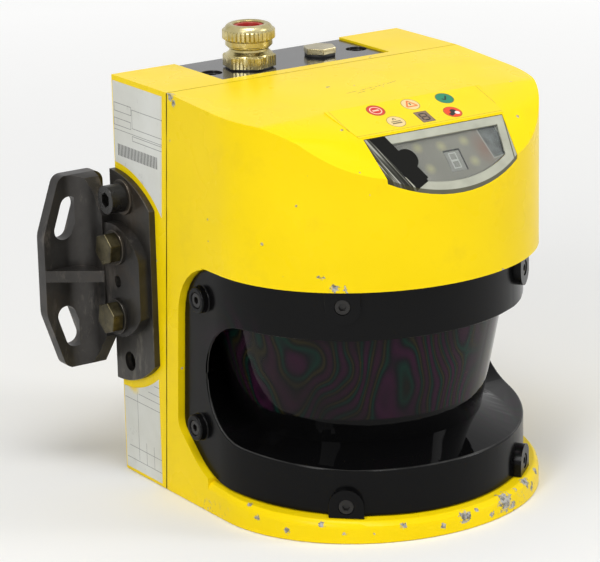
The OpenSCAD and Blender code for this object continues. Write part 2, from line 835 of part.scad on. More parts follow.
pad_face = plate_face - arm_t;
module tilt_pin() {
    color("gray") bar_x(pin_d, pad_face + 1, -half_w + wall, tilt_y, bracket_z);
}
module clamp_washers() {
    color([0.55, 0.5, 0.38]) for (z = clamp_zs) m8_washer(pad_face, z);
}
module clamp_bolts() {
    head_x = pad_face - m8_washer_t;
    color([0.5, 0.46, 0.36]) for (z = clamp_zs) {
        bar_x(screw_m8, head_x, -half_w + 12, tilt_y, z);
        translate([head_x - 5.3, tilt_y, z]) rotate([0, 90, 0]) rotate([0, 0, 10])
            hexagon(13, 5.3);
    }
}

flange_y = rear_y + flange_gap;
flange_x = -half_w - flange_reach;
flange_inner = -half_w + 1.5;
slot_turn = 18.5;
slot_mid = [-95.7, 25.4];
pad_r = 26;
pad_y = tilt_y + 3.5;
pad_cut = 31;
leg_face = pad_face - 0.9;
leg_end = rear_y - 1.5;
module leg_form(x0, x1) {
    across(x0, x1) for (s = [0, 1]) translate([0, bracket_z]) mirror([0, s])
        polygon([[leg_end, -1], [leg_end, 28.2], [rear_y + 10, 43.5], [flange_y, flange_half],
            [flange_y + 1, flange_half], [flange_y + 1, -1]]);
}
module wall_bracket() {
    color([0.33, 0.3, 0.29]) difference() {
        union() {
            // Pad against the side plate
            intersection() {
                bar_x(2 * pad_r, pad_face, plate_face, pad_y, bracket_z);
                translate([pad_face - 1, rear_y - pad_cut, 0])
                    cube([arm_t + 1, 2 * pad_r + 10, body_h]);
            }
            // Leg from the pad to the flange
            leg_form(leg_face, plate_face);
            lengthwise(flange_y, flange_y + flange_t) translate([0, bracket_z])
                polygon(rounded([[flange_inner, -flange_half, 5],
                    [flange_x + 9, -flange_half, 5], [flange_x, -18.5, 12],
                    [flange_x, 18.5, 12], [flange_x + 9, flange_half, 5],
                    [flange_inner, flange_half, 5]]));
            // Rib between the leg and the flange, and the fillets beside it
            translate([0, 0, bracket_z - rib_t / 2]) linear_extrude(rib_t)
                polygon([[leg_face + 1, leg_end], [leg_face, leg_end], [flange_x, flange_y],
                    [flange_x, flange_y + 1], [leg_face + 1, flange_y + 1]]);
            intersection() {
                translate([0, 0, bracket_z - flange_half]) linear_extrude(2 * flange_half)
                    difference() {
                        translate([leg_face - fillet, flange_y - fillet]) square(fillet + 0.5);
                        translate([leg_face - fillet, flange_y - fillet]) circle(fillet);
                    }
                leg_form(leg_face - fillet - 1, leg_face + 1);
            }
        }
        // Arc slots for the clamp bolts
        for (z = clamp_zs) hull() for (a = [-tilt_max - 1, tilt_max + 1])
            translate([0, tilt_y, bracket_z]) rotate([a, 0, 0])
                bar_x(screw_m8 + 2 * slide, pad_face - 2, plate_face + 1, 0, z - bracket_z);
        bar_x(pin_d + 2 * slide, leg_face - 1, plate_face + 1, tilt_y, bracket_z);
        for (s = [-1, 1], e = [-1, 1]) wall_slot_end(s, e);
        for (s = [-1, 1]) lengthwise(flange_y - 1, flange_y + flange_t + 1)
            translate([slot_mid.x, bracket_z + s * slot_mid.y]) rotate(-s * slot_turn)
                square([slot_w, slot_l], center = true);
    }
}
rib_t = 5.3;
fillet = 10;
module wall_slot_end(s, e) {
    lengthwise(flange_y - 1, flange_y + flange_t + 1)
        translate([slot_mid.x, bracket_z + s * slot_mid.y]) rotate(-s * slot_turn)
            translate([0, e * slot_l / 2]) circle(d = slot_w);
}

// ---- scan head ------------------------------------------------------------------------

bearing_d = 16;
bearing_h = 5;
motor_top = base_t + motor_h;
shaft_bore = shaft_d + 2 * slide;
bearing_zs = [base_t + 1, motor_top - bearing_h];
module motor() {
    color("silver") difference() {
        translate([0, 0, base_t]) cylinder(d = motor_d, h = motor_h);
        translate([0, 0, base_t - 1]) cylinder(d = shaft_bore + 1, h = motor_h + 2);
        translate([0, 0, base_t - 1]) cylinder(d = bearing_d, h = bearing_h + 2);
        translate([0, 0, motor_top - bearing_h]) cylinder(d = bearing_d, h = bearing_h + 1);
        at_motor_screws() translate([0, 0, base_t - 1]) cylinder(d = screw_m3, h = 7);
    }
}
module motor_bearings() {
    color("gainsboro") for (z = bearing_zs) translate([0, 0, z]) difference() {
        cylinder(d = bearing_d, h = bearing_h);
        translate([0, 0, -1]) cylinder(d = shaft_bore, h = bearing_h + 2);
    }
}
module motor_screws() {
    color("dimgray") at_motor_screws() {
        cylinder(d = screw_m3, h = base_t + 5);
        translate([0, 0, head_sink - 2.6]) cylinder(d = head_m3, h = 2.6);
    }
}
hub_d = 18;
disc_t = 1;
disc_z = motor_top + 6;
mirror_r = 27;
mirror_t = 3;
// Block below the mirror's plane, shifted down by drop along its normal
module below_mirror(drop) {
    translate([0, 0, scan_z]) rotate([45, 0, 0]) translate([-60, -60, -120 - drop])
        cube([120, 120, 120]);
}
module mirror_carrier() {
    color("dimgray") {
        translate([0, 0, base_t + 1]) cylinder(d = shaft_d, h = disc_z - base_t);
        translate([0, 0, motor_top + 1.5]) cylinder(d = hub_d, h = disc_z + 1 - motor_top);
        intersection() {
            translate([0, 0, disc_z + disc_t]) cylinder(r = mirror_r, h = 70);
            below_mirror(mirror_t);
        }
    }
}
module scan_mirror() {
    color("lightcyan") difference() {
        intersection() {
            translate([0, 0, disc_z + disc_t]) cylinder(r = mirror_r, h = 70);
            below_mirror(0);
        }
        below_mirror(mirror_t);
    }
}
module encoder_disc() {
    color("gainsboro") difference() {
        translate([0, 0, disc_z]) cylinder(r = 32, h = disc_t);
        translate([0, 0, disc_z - 1]) cylinder(d = hub_d, h = disc_t + 2);
    }
}
tube_r = lens_hole_d / 2 - slide;
tube_h = 38;
lens_z = hood_z + 3;
laser_bore = 12;
module lens_tube() {
    color("dimgray") difference() {
        union() {
            translate([0, 0, hood_z]) cylinder(r = tube_r, h = tube_h);
            translate([0, 0, hood_z + floor_t]) cylinder(r = tube_r + 7, h = 3);
        }
        translate([0, 0, hood_z - 1]) cylinder(d = lens_d - 4, h = tube_h + 2);
        translate([0, 0, lens_z]) cylinder(d = lens_d, h = tube_h);
    }
}
// Lens with a flat upper side and a bulging lower one, bored for the laser
module receiver_lens() {
    ball = 70;
    rim = lens_d / 2 - 2.5;
    color([0.8, 0.9, 0.95]) difference() {
        union() {
            translate([0, 0, lens_z]) cylinder(d = lens_d, h = 5);
            intersection() {
                translate([0, 0, lens_z + sqrt(ball * ball - rim * rim)]) sphere(ball, $fn = 96);
                translate([0, 0, lens_z - 10]) cylinder(r = rim, h = 11);
            }
        }
        translate([0, 0, lens_z - 12]) cylinder(d = laser_bore, h = 20);
    }
}
module laser_module() {
    color("goldenrod") {
        translate([0, 0, hood_z - 4]) cylinder(d = laser_bore, h = 20);
        translate([0, 0, lens_z + 5]) cylinder(d = laser_bore + 6, h = 3);
    }
}
module receiver_board() {
    color("seagreen") {
        translate([0, 0, hood_z + tube_h]) cylinder(r = tube_r, h = board_t);
        translate([0, 0, hood_z + tube_h - 4]) cylinder(d = 9, h = 5);
        translate([-12, 8, hood_z + tube_h + board_t]) cube([16, 10, 3]);
    }
}
board_t = 1.6;
board_y = rear_y - wall - 9;
board_half = 52;
board_z = [24, ledge_z - plug_box.z - 6];
module at_board_corners() {
    for (x = [-1, 1], z = [board_z[0] + 6, board_z[1] - 6])
        translate([x * (board_half - 6), 0, z]) children();
}
module main_board() {
    color("darkgreen") {
        difference() {
            translate([-board_half, board_y - board_t, board_z[0]])
                cube([2 * board_half, board_t, board_z[1] - board_z[0]]);
            at_board_corners() bar_y(3.2, board_y - 5, board_y + 5, 0, 0);
        }
        translate([-20, board_y - board_t - 3, 80]) cube([28, 3, 28]);
        translate([18, board_y - board_t - 8, 40]) cube([24, 8, 16]);
        translate([-44, board_y - board_t - 12, 36]) cube([14, 12, 30]);
        translate([-10, board_y - board_t - 6, board_z[1] - 16]) cube([40, 6, 9]);
    }
}
module board_spacers() {
    color("silver") at_board_corners() {
        translate([0, rear_y - wall, 0]) rotate([90, 0, 0]) hexagon(6, 9);
        bar_y(3, board_y - board_t - 1.5, board_y + 1, 0, 0);
        bar_y(5.5, board_y - board_t - 3, board_y - board_t, 0, 0);
    }
}

rear_housing();
front_housing();
housing_seal();
housing_screws();
optics_cover();
cover_seal();
cover_screws();
display_window();
window_mask();
indicator_board();
digit_display();
status_lamps();
icon_film();
connector_plate();
plate_seal();
plate_screws();
plug_housing();
terminal_strip();
gland_body();
gland_nut();
gland_insert();
gland_washer();
blanking_plug();
blanking_plug_ring();
upper_label();
lower_label();
side_plate();
side_plate_screw();
side_plate_washer();
tilt_pin();
clamp_bolts();
clamp_washers();
wall_bracket();
motor();
motor_bearings();
motor_screws();
mirror_carrier();
scan_mirror();
encoder_disc();
receiver_lens();
lens_tube();
laser_module();
receiver_board();
main_board();
board_spacers();
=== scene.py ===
"""Safety laser scanner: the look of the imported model, in metres."""
import json
import math

import bmesh
import bpy
from mathutils import Matrix, Vector

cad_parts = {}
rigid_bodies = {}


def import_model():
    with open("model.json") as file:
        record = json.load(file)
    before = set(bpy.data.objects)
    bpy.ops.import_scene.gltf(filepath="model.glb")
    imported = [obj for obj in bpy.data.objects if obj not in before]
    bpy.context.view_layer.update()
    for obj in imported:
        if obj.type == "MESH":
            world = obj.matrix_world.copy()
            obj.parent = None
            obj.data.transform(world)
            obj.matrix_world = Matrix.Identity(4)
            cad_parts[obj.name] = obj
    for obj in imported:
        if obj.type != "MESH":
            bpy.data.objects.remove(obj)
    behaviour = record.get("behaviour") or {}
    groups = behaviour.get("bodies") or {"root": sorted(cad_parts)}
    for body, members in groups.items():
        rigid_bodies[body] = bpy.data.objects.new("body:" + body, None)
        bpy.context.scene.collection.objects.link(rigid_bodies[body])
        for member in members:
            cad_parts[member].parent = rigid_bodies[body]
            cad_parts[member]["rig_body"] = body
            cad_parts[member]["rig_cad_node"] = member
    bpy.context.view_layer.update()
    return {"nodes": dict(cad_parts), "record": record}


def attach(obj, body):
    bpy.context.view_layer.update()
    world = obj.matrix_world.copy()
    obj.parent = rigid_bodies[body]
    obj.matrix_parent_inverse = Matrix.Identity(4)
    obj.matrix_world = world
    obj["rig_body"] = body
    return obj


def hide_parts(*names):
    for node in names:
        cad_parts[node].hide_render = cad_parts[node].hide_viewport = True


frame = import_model()
MM = 0.001
BODY_OF = {n: b for b, names in frame["record"]["behaviour"]["bodies"].items() for n in names}


# ---------------------------------------------------------------- camera, floor and lights
CAMERA_PLACE = Vector((-0.72355, -1.05397, 0.47584))
CAMERA_AIM = Vector((-0.029404, 0.0, 0.098324))
CAMERA_ROLL = math.radians(-1.308)
CAMERA_LENS, CAMERA_SENSOR = 180.01, 36
FLOOR_SIZE, FLOOR_DROP = 8, 0.0003
# Glow of the floor at two distances from the object, as the camera sees it
FLOOR_REACH, FLOOR_GLOW = (0.1, 1.1), (0.0, 0.46)
SKY_FILL, SKY_SEEN = 0.38, 0.92
LAMP_AIM = (0, 0, 0.1)
# Place, width and height, and power of each lamp
LAMPS = {
    "light_top": ((-0.2, -0.3, 1.3), (0.62, 0.5), 8.1),
    "light_left": ((-1.2, -0.7, 0.8), (0.36, 0.7), 8.8),
    "light_right": ((1.1, -0.9, 0.7), (0.3, 0.8), 7.6),
}


def set_camera():
    """The camera, turned a little about its own axis."""
    forward = (CAMERA_AIM - CAMERA_PLACE).normalized()
    right = forward.cross(Vector((0, 0, 1))).normalized()
    up = right.cross(forward)
    cosine, sine = math.cos(CAMERA_ROLL), math.sin(CAMERA_ROLL)
    right, up = right * cosine + up * sine, up * cosine - right * sine
    turn = Matrix((right, up, -forward)).transposed()
    bpy.ops.object.camera_add(location=CAMERA_PLACE)
    camera = bpy.context.object
    camera.rotation_mode = "QUATERNION"
    camera.rotation_quaternion = turn.to_quaternion()
    camera.data.lens = CAMERA_LENS
    camera.data.sensor_width = CAMERA_SENSOR
    camera.data.clip_start = 0.05
    bpy.context.scene.camera = camera


def looked_at(tree):
    """1 for what the camera sees, straight on, mirrored or through glass, and 0 for other light."""
    path = tree.nodes.new("ShaderNodeLightPath")
    seen = path.outputs["Is Camera Ray"]
    for ray in ("Is Glossy Ray", "Is Transmission Ray"):
        either = tree.nodes.new("ShaderNodeMath")
        either.operation = "MAXIMUM"
        tree.links.new(seen, either.inputs[0])
        tree.links.new(path.outputs[ray], either.inputs[1])
        seen = either.outputs[0]
    return seen


def pale_from_camera(tree, surface, strength, colour):
    """Shows a plain pale colour to the camera and to reflections, and the surface elsewhere."""
    seen = looked_at(tree)
    glow = tree.nodes.new("ShaderNodeBackground")
    glow.inputs["Color"].default_value = colour
    glow.inputs["Strength"].default_value = strength
    mixed = tree.nodes.new("ShaderNodeMixShader")
    tree.links.new(seen, mixed.inputs[0])
    tree.links.new(surface.outputs[0], mixed.inputs[1])
    tree.links.new(glow.outputs[0], mixed.inputs[2])
    return mixed


def lay_floor():
    """A pale cloth that keeps the shadow and pales away from the object, as seen by the camera."""
    bpy.ops.mesh.primitive_plane_add(size=FLOOR_SIZE, location=(0, 0, -FLOOR_DROP))
    floor = bpy.context.object
    floor.name = "floor"
    cloth = bpy.data.materials.new("pale_floor")
    cloth.use_nodes = True
    tree = cloth.node_tree
    shader = tree.nodes["Principled BSDF"]
    shader.inputs["Base Color"].default_value = (0.83, 0.83, 0.82, 1)
    shader.inputs["Roughness"].default_value = 0.8
    shader.inputs["Specular IOR Level"].default_value = 0.2
    place = tree.nodes.new("ShaderNodeTexCoord")
    far = tree.nodes.new("ShaderNodeVectorMath")
    far.operation = "LENGTH"
    tree.links.new(place.outputs["Object"], far.inputs[0])
    glow = tree.nodes.new("ShaderNodeMapRange")
    tree.links.new(far.outputs["Value"], glow.inputs["Value"])
    for socket, value in zip(("From Min", "From Max", "To Min", "To Max"), FLOOR_REACH + FLOOR_GLOW):
        glow.inputs[socket].default_value = value
    seen = tree.nodes.new("ShaderNodeMath")
    seen.operation = "MULTIPLY"
    tree.links.new(glow.outputs[0], seen.inputs[0])
    tree.links.new(looked_at(tree), seen.inputs[1])
    shader.inputs["Emission Color"].default_value = (1, 1, 1, 1)
    tree.links.new(seen.outputs[0], shader.inputs["Emission Strength"])
    floor.data.materials.append(cloth)


def hang_light(name, place, size, power):
    """A soft lamp that looks at the object."""
    bpy.ops.object.light_add(type="AREA", location=place)
    lamp = bpy.context.object
    lamp.name = name
    lamp.data.shape = "RECTANGLE"
    lamp.data.size, lamp.data.size_y = size
    lamp.data.energy = power
    lamp.rotation_mode = "QUATERNION"
    lamp.rotation_quaternion = (Vector(LAMP_AIM) - Vector(place)).to_track_quat("-Z", "Y")


def set_lights():
    """The pale surroundings and the three lamps."""
    sky = bpy.data.worlds.new("studio")
    bpy.context.scene.world = sky
    sky.use_nodes = True
    tree = sky.node_tree
    fill = tree.nodes["Background"]
    fill.inputs["Color"].default_value = (1, 1, 1, 1)
    fill.inputs["Strength"].default_value = SKY_FILL
    seen = pale_from_camera(tree, fill, SKY_SEEN, (0.98, 0.98, 0.98, 1))
    tree.links.new(seen.outputs[0], tree.nodes["World Output"].inputs["Surface"])
    for name, (place, size, power) in LAMPS.items():
        hang_light(name, place, size, power)
    bpy.context.scene.view_settings.view_transform = "Standard"


# ---------------------------------------------------------------- finishes
# Scale that takes the height above a face out of a measure on it
FLATTENED = 10000


class Finish:
    """A material under construction: its shader, its object coordinates and its mixing."""

    def __init__(self, name, colour=(0.5, 0.5, 0.5), rough=0.5, metal=0.0, **sockets):
        self.material = bpy.data.materials.new(name)
        self.material.use_nodes = True
        self.tree = self.material.node_tree
        self.shader = self.tree.nodes["Principled BSDF"]
        self.place = self.tree.nodes.new("ShaderNodeTexCoord").outputs["Object"]
        self.shader.inputs["Base Color"].default_value = (*colour, 1)
        self.shader.inputs["Roughness"].default_value = rough
        self.shader.inputs["Metallic"].default_value = metal
        for socket, value in sockets.items():
            self.shader.inputs[socket.replace("_", " ")].default_value = value

    def join(self, source, target):
        """Links an output to an input."""
        self.tree.links.new(source, target)

    def feed(self, target, value):
        """Gives an input an output to follow, a colour or a number."""
        if hasattr(value, "links"):
            self.join(value, target)
        elif isinstance(value, tuple):
            target.default_value = (*value, 1)
        elif value is not None:
            target.default_value = value

    def grain(self, scale, detail=3.0, rough=0.55, stretch=None, at=None):
        """Noise on object coordinates, scale in features to the metre."""
        noise = self.tree.nodes.new("ShaderNodeTexNoise")
        noise.inputs["Scale"].default_value = scale
        noise.inputs["Detail"].default_value = detail
        noise.inputs["Roughness"].default_value = rough
        place = at or self.place
        if stretch:
            turned = self.tree.nodes.new("ShaderNodeMapping")
            turned.inputs["Scale"].default_value = stretch
            self.join(place, turned.inputs["Vector"])
            place = turned.outputs[0]
        self.join(place, noise.inputs["Vector"])
        return noise.outputs["Fac"]

    def ramp(self, value, *stops):
        """Colour ramp from (position, colour or level) stops."""
        band = self.tree.nodes.new("ShaderNodeValToRGB")
        points = band.color_ramp.elements
        while len(points) < len(stops):
            points.new(0.5)
        for point, (at, level) in zip(points, stops):
            point.position = at
            point.color = (*level, 1) if isinstance(level, tuple) else (level, level, level, 1)
        self.join(value, band.inputs["Fac"])
        return band.outputs["Color"]

    def calc(self, kind, a, b=None):
        """One step of arithmetic on a number."""
        step = self.tree.nodes.new("ShaderNodeMath")
        step.operation = kind
        for socket, value in zip(step.inputs, (a, b)):
            self.feed(socket, value)
        return step.outputs[0]

    def blend(self, share, a, b):
        """From a where share is 0 to b where it is 1."""
        mixed = self.tree.nodes.new("ShaderNodeMix")
        mixed.data_type = "RGBA"
        self.feed(mixed.inputs[0], share)
        self.feed(mixed.inputs[6], a)
        self.feed(mixed.inputs[7], b)
        return mixed.outputs[2]

    def axes(self):
        """The three object coordinates, in metres."""
        split = self.tree.nodes.new("ShaderNodeSeparateXYZ")
        self.join(self.place, split.inputs[0])
        return split.outputs

    def length(self, across, along):
        """How far a point given by two coordinates lies from the origin."""
        point = self.tree.nodes.new("ShaderNodeCombineXYZ")
        self.join(across, point.inputs[0])
        self.join(along, point.inputs[1])
        size = self.tree.nodes.new("ShaderNodeVectorMath")
        size.operation = "LENGTH"
        self.join(point.outputs[0], size.inputs[0])
        return size.outputs["Value"]

    def near(self, point, reach, soft=0.5):
        """1 at a point, falling to 0 at reach metres from it."""
        far = self.tree.nodes.new("ShaderNodeVectorMath")
        far.operation = "DISTANCE"
        self.join(self.place, far.inputs[0])
        far.inputs[1].default_value = point
        return self.fall(far.outputs["Value"], reach * (1 - soft), reach)

    def fall(self, value, start, end):
        """1 up to start, 0 from end on, along a straight line."""
        line = self.tree.nodes.new("ShaderNodeMapRange")
        self.join(value, line.inputs["Value"])
        line.inputs["From Min"].default_value = start
        line.inputs["From Max"].default_value = end
        line.inputs["To Min"].default_value = 1
        line.inputs["To Max"].default_value = 0
        return line.outputs[0]

    def face(self, origin, turn):
        """Flat coordinates in millimetres on a face with this origin and turn."""
        spot = self.tree.nodes.new("ShaderNodeMapping")
        spot.vector_type = "TEXTURE"
        spot.inputs["Location"].default_value = origin
        spot.inputs["Rotation"].default_value = turn
        spot.inputs["Scale"].default_value = (MM, MM, MM)
        self.join(self.place, spot.inputs["Vector"])
        return spot.outputs[0]

    def _inside(self, at, x, y, half_x, half_y, turn, measure):
        """A measure of the place on a face in a box's own coordinates, 1 at its sides."""
        spot = self.tree.nodes.new("ShaderNodeMapping")
        spot.vector_type = "TEXTURE"
        spot.inputs["Location"].default_value = (x, y, 0)
        spot.inputs["Rotation"].default_value = (0, 0, math.radians(turn))
        spot.inputs["Scale"].default_value = (half_x, half_y, FLATTENED)
        self.join(at, spot.inputs["Vector"])
        size = self.tree.nodes.new("ShaderNodeVectorMath")
        size.operation = measure
        self.join(spot.outputs[0], size.inputs[0])
        return size

    def patch(self, at, x, y, half_x, half_y, turn=0):
        """1 inside a box on a face, 0 outside."""
        size = self._inside(at, x, y, half_x, half_y, turn, "ABSOLUTE")
        split = self.tree.nodes.new("ShaderNodeSeparateXYZ")
        self.join(size.outputs[0], split.inputs[0])
        return self.calc("LESS_THAN", self.calc("MAXIMUM", split.outputs[0], split.outputs[1]), 1.0)

    def disc(self, at, x, y, radius, radius_y=None, turn=0, soft=0.0):
        """1 inside a round or oval patch on a face, 0 outside."""
        size = self._inside(at, x, y, radius, radius_y or radius, turn, "LENGTH")
        if soft:
            return self.fall(size.outputs["Value"], 1 - soft, 1)
        return self.calc("LESS_THAN", size.outputs["Value"], 1.0)

    def ring(self, at, x, y, outer, inner):
        """1 between two circles on a face, 0 elsewhere."""
        return self.calc("SUBTRACT", self.disc(at, x, y, outer), self.disc(at, x, y, inner))

    def rule(self, at, start, end, width):
        """A drawn line between two points on a face."""
        (ax, ay), (bx, by) = start, end
        return self.patch(at, (ax + bx) / 2, (ay + by) / 2, math.hypot(bx - ax, by - ay) / 2,
                          width / 2, math.degrees(math.atan2(by - ay, bx - ax)))

    def frame(self, at, x0, x1, y0, y1, width):
        """The outline of a box drawn on a face."""
        middle, half = ((x0 + x1) / 2, (y0 + y1) / 2), ((x1 - x0) / 2, (y1 - y0) / 2)
        return self.calc("SUBTRACT", self.patch(at, *middle, *half),
                         self.patch(at, *middle, half[0] - width, half[1] - width))

    def any(self, *masks):
        """1 where any of the masks is."""
        most = masks[0]
        for mask in masks[1:]:
            most = self.calc("MAXIMUM", most, mask)
        return most

    def both(self, *masks):
        """1 where all of the masks are."""
        least = masks[0]
        for mask in masks[1:]:
            least = self.calc("MULTIPLY", least, mask)
        return least

    def without(self, mask):
        """1 where the mask is 0."""
        return self.calc("SUBTRACT", 1.0, mask)

    def bump(self, height, depth, strength=1.0):
        """Relief of this depth in metres, over any relief given before."""
        relief = self.tree.nodes.new("ShaderNodeBump")
        relief.inputs["Strength"].default_value = strength
        relief.inputs["Distance"].default_value = depth
        self.join(height, relief.inputs["Height"])
        previous = self.shader.inputs["Normal"].links
        if previous:
            self.join(previous[0].from_socket, relief.inputs["Normal"])
        self.join(relief.outputs[0], self.shader.inputs["Normal"])

    def colour(self, value):
        """Sets the base colour."""
        self.feed(self.shader.inputs["Base Color"], value)

    def rough(self, value):
        """Sets the roughness."""
        self.feed(self.shader.inputs["Roughness"], value)


YELLOW = (0.90, 0.66, 0.004)
BARE_METAL = ((0.13, 0.12, 0.10), (0.46, 0.45, 0.42))
# Places where the paint is knocked off, each with its reach
CHIPS = (
    ((-0.0556, -0.0565, 0.1187), 0.0042), ((-0.0520, -0.0602, 0.1140), 0.0048),
    ((-0.0490, -0.0628, 0.1135), 0.0040), ((-0.0575, -0.0545, 0.1200), 0.0026),
    ((-0.0775, 0.0250, 0.1838), 0.0040), ((-0.0775, 0.0225, 0.1815), 0.0030),
    ((0.0245, -0.0769, 0.0060), 0.0080), ((0.0427, -0.0677, 0.0085), 0.0050),
    ((0.0002, -0.0811, 0.0060), 0.0055), ((-0.0657, -0.0430, 0.0050), 0.0028),
    ((-0.0400, -0.0690, 0.0040), 0.0025), ((0.0600, -0.0500, 0.0060), 0.0060),
    ((0.0700, -0.0250, 0.1450), 0.0045), ((0.0690, -0.0300, 0.1330), 0.0035),
    ((-0.0250, -0.0800, 0.0030), 0.0022), ((-0.0745, -0.0250, 0.0120), 0.0024),
)
FOOT_REACH = 0.0807
# Small chips round the foot: turn from the front in degrees, height and reach in millimetres
FOOT_CHIPS = ((-68, 7, 2.6), (-57, 4, 2.8), (-46, 8, 2.6), (-39, 5, 2.2), (-21, 7, 2.6), (-8, 4, 2.4),
              (5, 8, 2.6), (11, 3, 3.0), (22, 3, 3.6), (25, 9, 3.0), (36, 4, 3.8), (43, 8, 3.4),
              (49, 5, 3.6), (56, 8, 3.0))
# Ends of the scratches on the roof, across and along in millimetres
ROOF_SCRATCHES = (((-14.7, -16.6), (-8, -15.4)), ((-6.5, -15.6), (1, -13.8)), ((2, -14.4), (9, -12.2)),
                  ((10, -12.6), (16, -10.6)), ((-10, -18.8), (-5, -17.6)), ((-2, -17.2), (2, -16.0)))
# Where the seam between the castings meets the base, and how far it leans for each unit of height
SEAM_FOOT, SEAM_LEAN = 40 * MM, -12 / 185
# Place of the empty screw hole in the side, along and up
SPARE_HOLE = (0.063, 0.0546)
ROOF_Z, SIDE_X = 0.185, -0.0775


def on_foot(turn, height, reach):
    """Place and reach of a chip on the round front of the foot."""
    angle = math.radians(turn)
    return (FOOT_REACH * math.sin(angle), -FOOT_REACH * math.cos(angle), height * MM), reach * MM


def yellow_paint():
    """Stoved yellow paint on a casting, knocked off in spots and scratched on the roof."""
    f = Finish("yellow_paint", YELLOW, 0.30, IOR=1.47, Specular_IOR_Level=0.1)
    x, y, z = f.axes()
    tone = f.ramp(f.grain(13, 2), (0.3, (0.87, 0.63, 0.002)), (0.7, (0.94, 0.69, 0.005)))
    dirt = f.ramp(f.grain(38, 5, 0.7), (0.55, 0), (0.85, 0.35))
    tone = f.blend(dirt, tone, (0.66, 0.46, 0.02))
    ragged = f.grain(620, 4, 0.7)
    chips = CHIPS + tuple(on_foot(*chip) for chip in FOOT_CHIPS)
    spots = f.any(*(f.near(place, reach, 0.9) for place, reach in chips))
    knocked = f.ramp(f.calc("ADD", f.calc("MULTIPLY", spots, 0.50), ragged), (0.76, 0), (0.80, 1))
    rim = f.both(f.fall(z, 0.0005, 0.0075), f.ramp(f.grain(34, 2), (0.52, 0), (0.66, 1)),
                 f.fall(y, 0.020, 0.045))
    nibbled = f.both(rim, f.ramp(f.grain(480, 3, 0.65), (0.575, 0), (0.60, 1)))
    dots = f.ramp(f.grain(210, 1, 0.3), (0.795, 0), (0.80, 1))
    bare = f.any(knocked, nibbled, f.calc("MULTIPLY", dots, 0.8))
    roof = f.face((0.0, 0.0, ROOF_Z), (0, 0, 0))
    scratched = f.both(f.any(*(f.rule(roof, *ends, 0.5) for ends in ROOF_SCRATCHES)),
                       f.ramp(f.grain(300, 3, 0.6), (0.42, 0), (0.50, 0.85)),
                       f.near((0.0, -0.013, 0.184), 0.035, 0.2))
    tone = f.blend(scratched, tone, (0.20, 0.15, 0.04))
    metal = f.ramp(f.grain(700, 3), (0.35, BARE_METAL[0]), (0.6, BARE_METAL[1]))
    seam_y = f.calc("ADD", f.calc("MULTIPLY", z, SEAM_LEAN), SEAM_FOOT)
    off_seam = f.calc("ABSOLUTE", f.calc("SUBTRACT", y, seam_y))
    grime = f.both(f.fall(off_seam, 0.00035, 0.0006), f.fall(z, 0.1845, 0.1852),
                   f.ramp(f.grain(55, 4), (0.35, 0.45), (0.6, 0.95)))
    tone = f.blend(grime, tone, (0.05, 0.035, 0.006))
    # Near black in and round the empty screw hole: its bare thread, and painted shade inside it
    hole = f.near((SIDE_X, *SPARE_HOLE), 0.0075, 0.1)
    f.colour(f.blend(hole, f.blend(bare, tone, metal), (0.006, 0.006, 0.005)))
    f.rough(f.blend(bare, f.ramp(f.grain(35, 3), (0.3, 0.24), (0.7, 0.34)), (0.5, 0.5, 0.5)))
    f.bump(f.grain(420, 2, 0.5), 0.00003, 0.3)
    f.bump(f.without(bare), 0.00012, 0.6)
    return f.material


# Reach of the optics cover's outer skin from the scan axis, and of its screen, with the screen's heights
COVER_SKIN = 0.0745
SCREEN_REACH, SCREEN_FOOT, SCREEN_TOP = 0.0672, 0.037, 0.0887
# Where the painted interference sheen on the screen fades: a round end about a point behind and below its
# top
SHEEN_BACK, SHEEN_HEIGHT, SHEEN_RADIUS = 0.017, 0.0795, 0.0317
# Spots beside the screen that carry a little of the painted sheen, each with its reach
SHEEN_SPOTS = (((-0.0745, -0.005, 0.070), 0.034), ((0.050, -0.040, 0.037), 0.036))
COVER_DARK = (0.0026, 0.0026, 0.0028)
# Lighter grey of the rounded edges of the skin, a painted highlight
COVER_LIP_HIGHLIGHT = (0.055, 0.055, 0.053)
# Colours of the bands of the painted interference sheen
SHEEN_BANDS = (
    (0.0, (0.027, 0.005, 0.020)), (0.14, (0.005, 0.004, 0.007)), (0.32, (0.002, 0.024, 0.016)),
    (0.50, (0.005, 0.007, 0.005)), (0.66, (0.026, 0.021, 0.006)), (0.82, (0.004, 0.004, 0.005)),
    (1.0, (0.024, 0.006, 0.017)),
)


def interference(f):
    """Waving bands of faint purple, green and amber, a painted interference sheen."""
    bands = f.tree.nodes.new("ShaderNodeTexWave")
    bands.wave_type, bands.bands_direction = "BANDS", "X"
    for socket, value in (("Scale", 19), ("Distortion", 20), ("Detail", 1.5), ("Detail Scale", 1.3),
                          ("Detail Roughness", 0.45)):
        bands.inputs[socket].default_value = value
    squeezed = f.tree.nodes.new("ShaderNodeMapping")
    squeezed.inputs["Scale"].default_value = (1.0, 1.0, 0.7)
    f.join(f.place, squeezed.inputs["Vector"])
    f.join(squeezed.outputs[0], bands.inputs["Vector"])
    strength = f.ramp(f.grain(24, 3, 0.6), (0.32, 0.15), (0.62, 1.0))
    return f.blend(strength, (0.007, 0.007, 0.007), f.ramp(bands.outputs["Fac"], *SHEEN_BANDS))


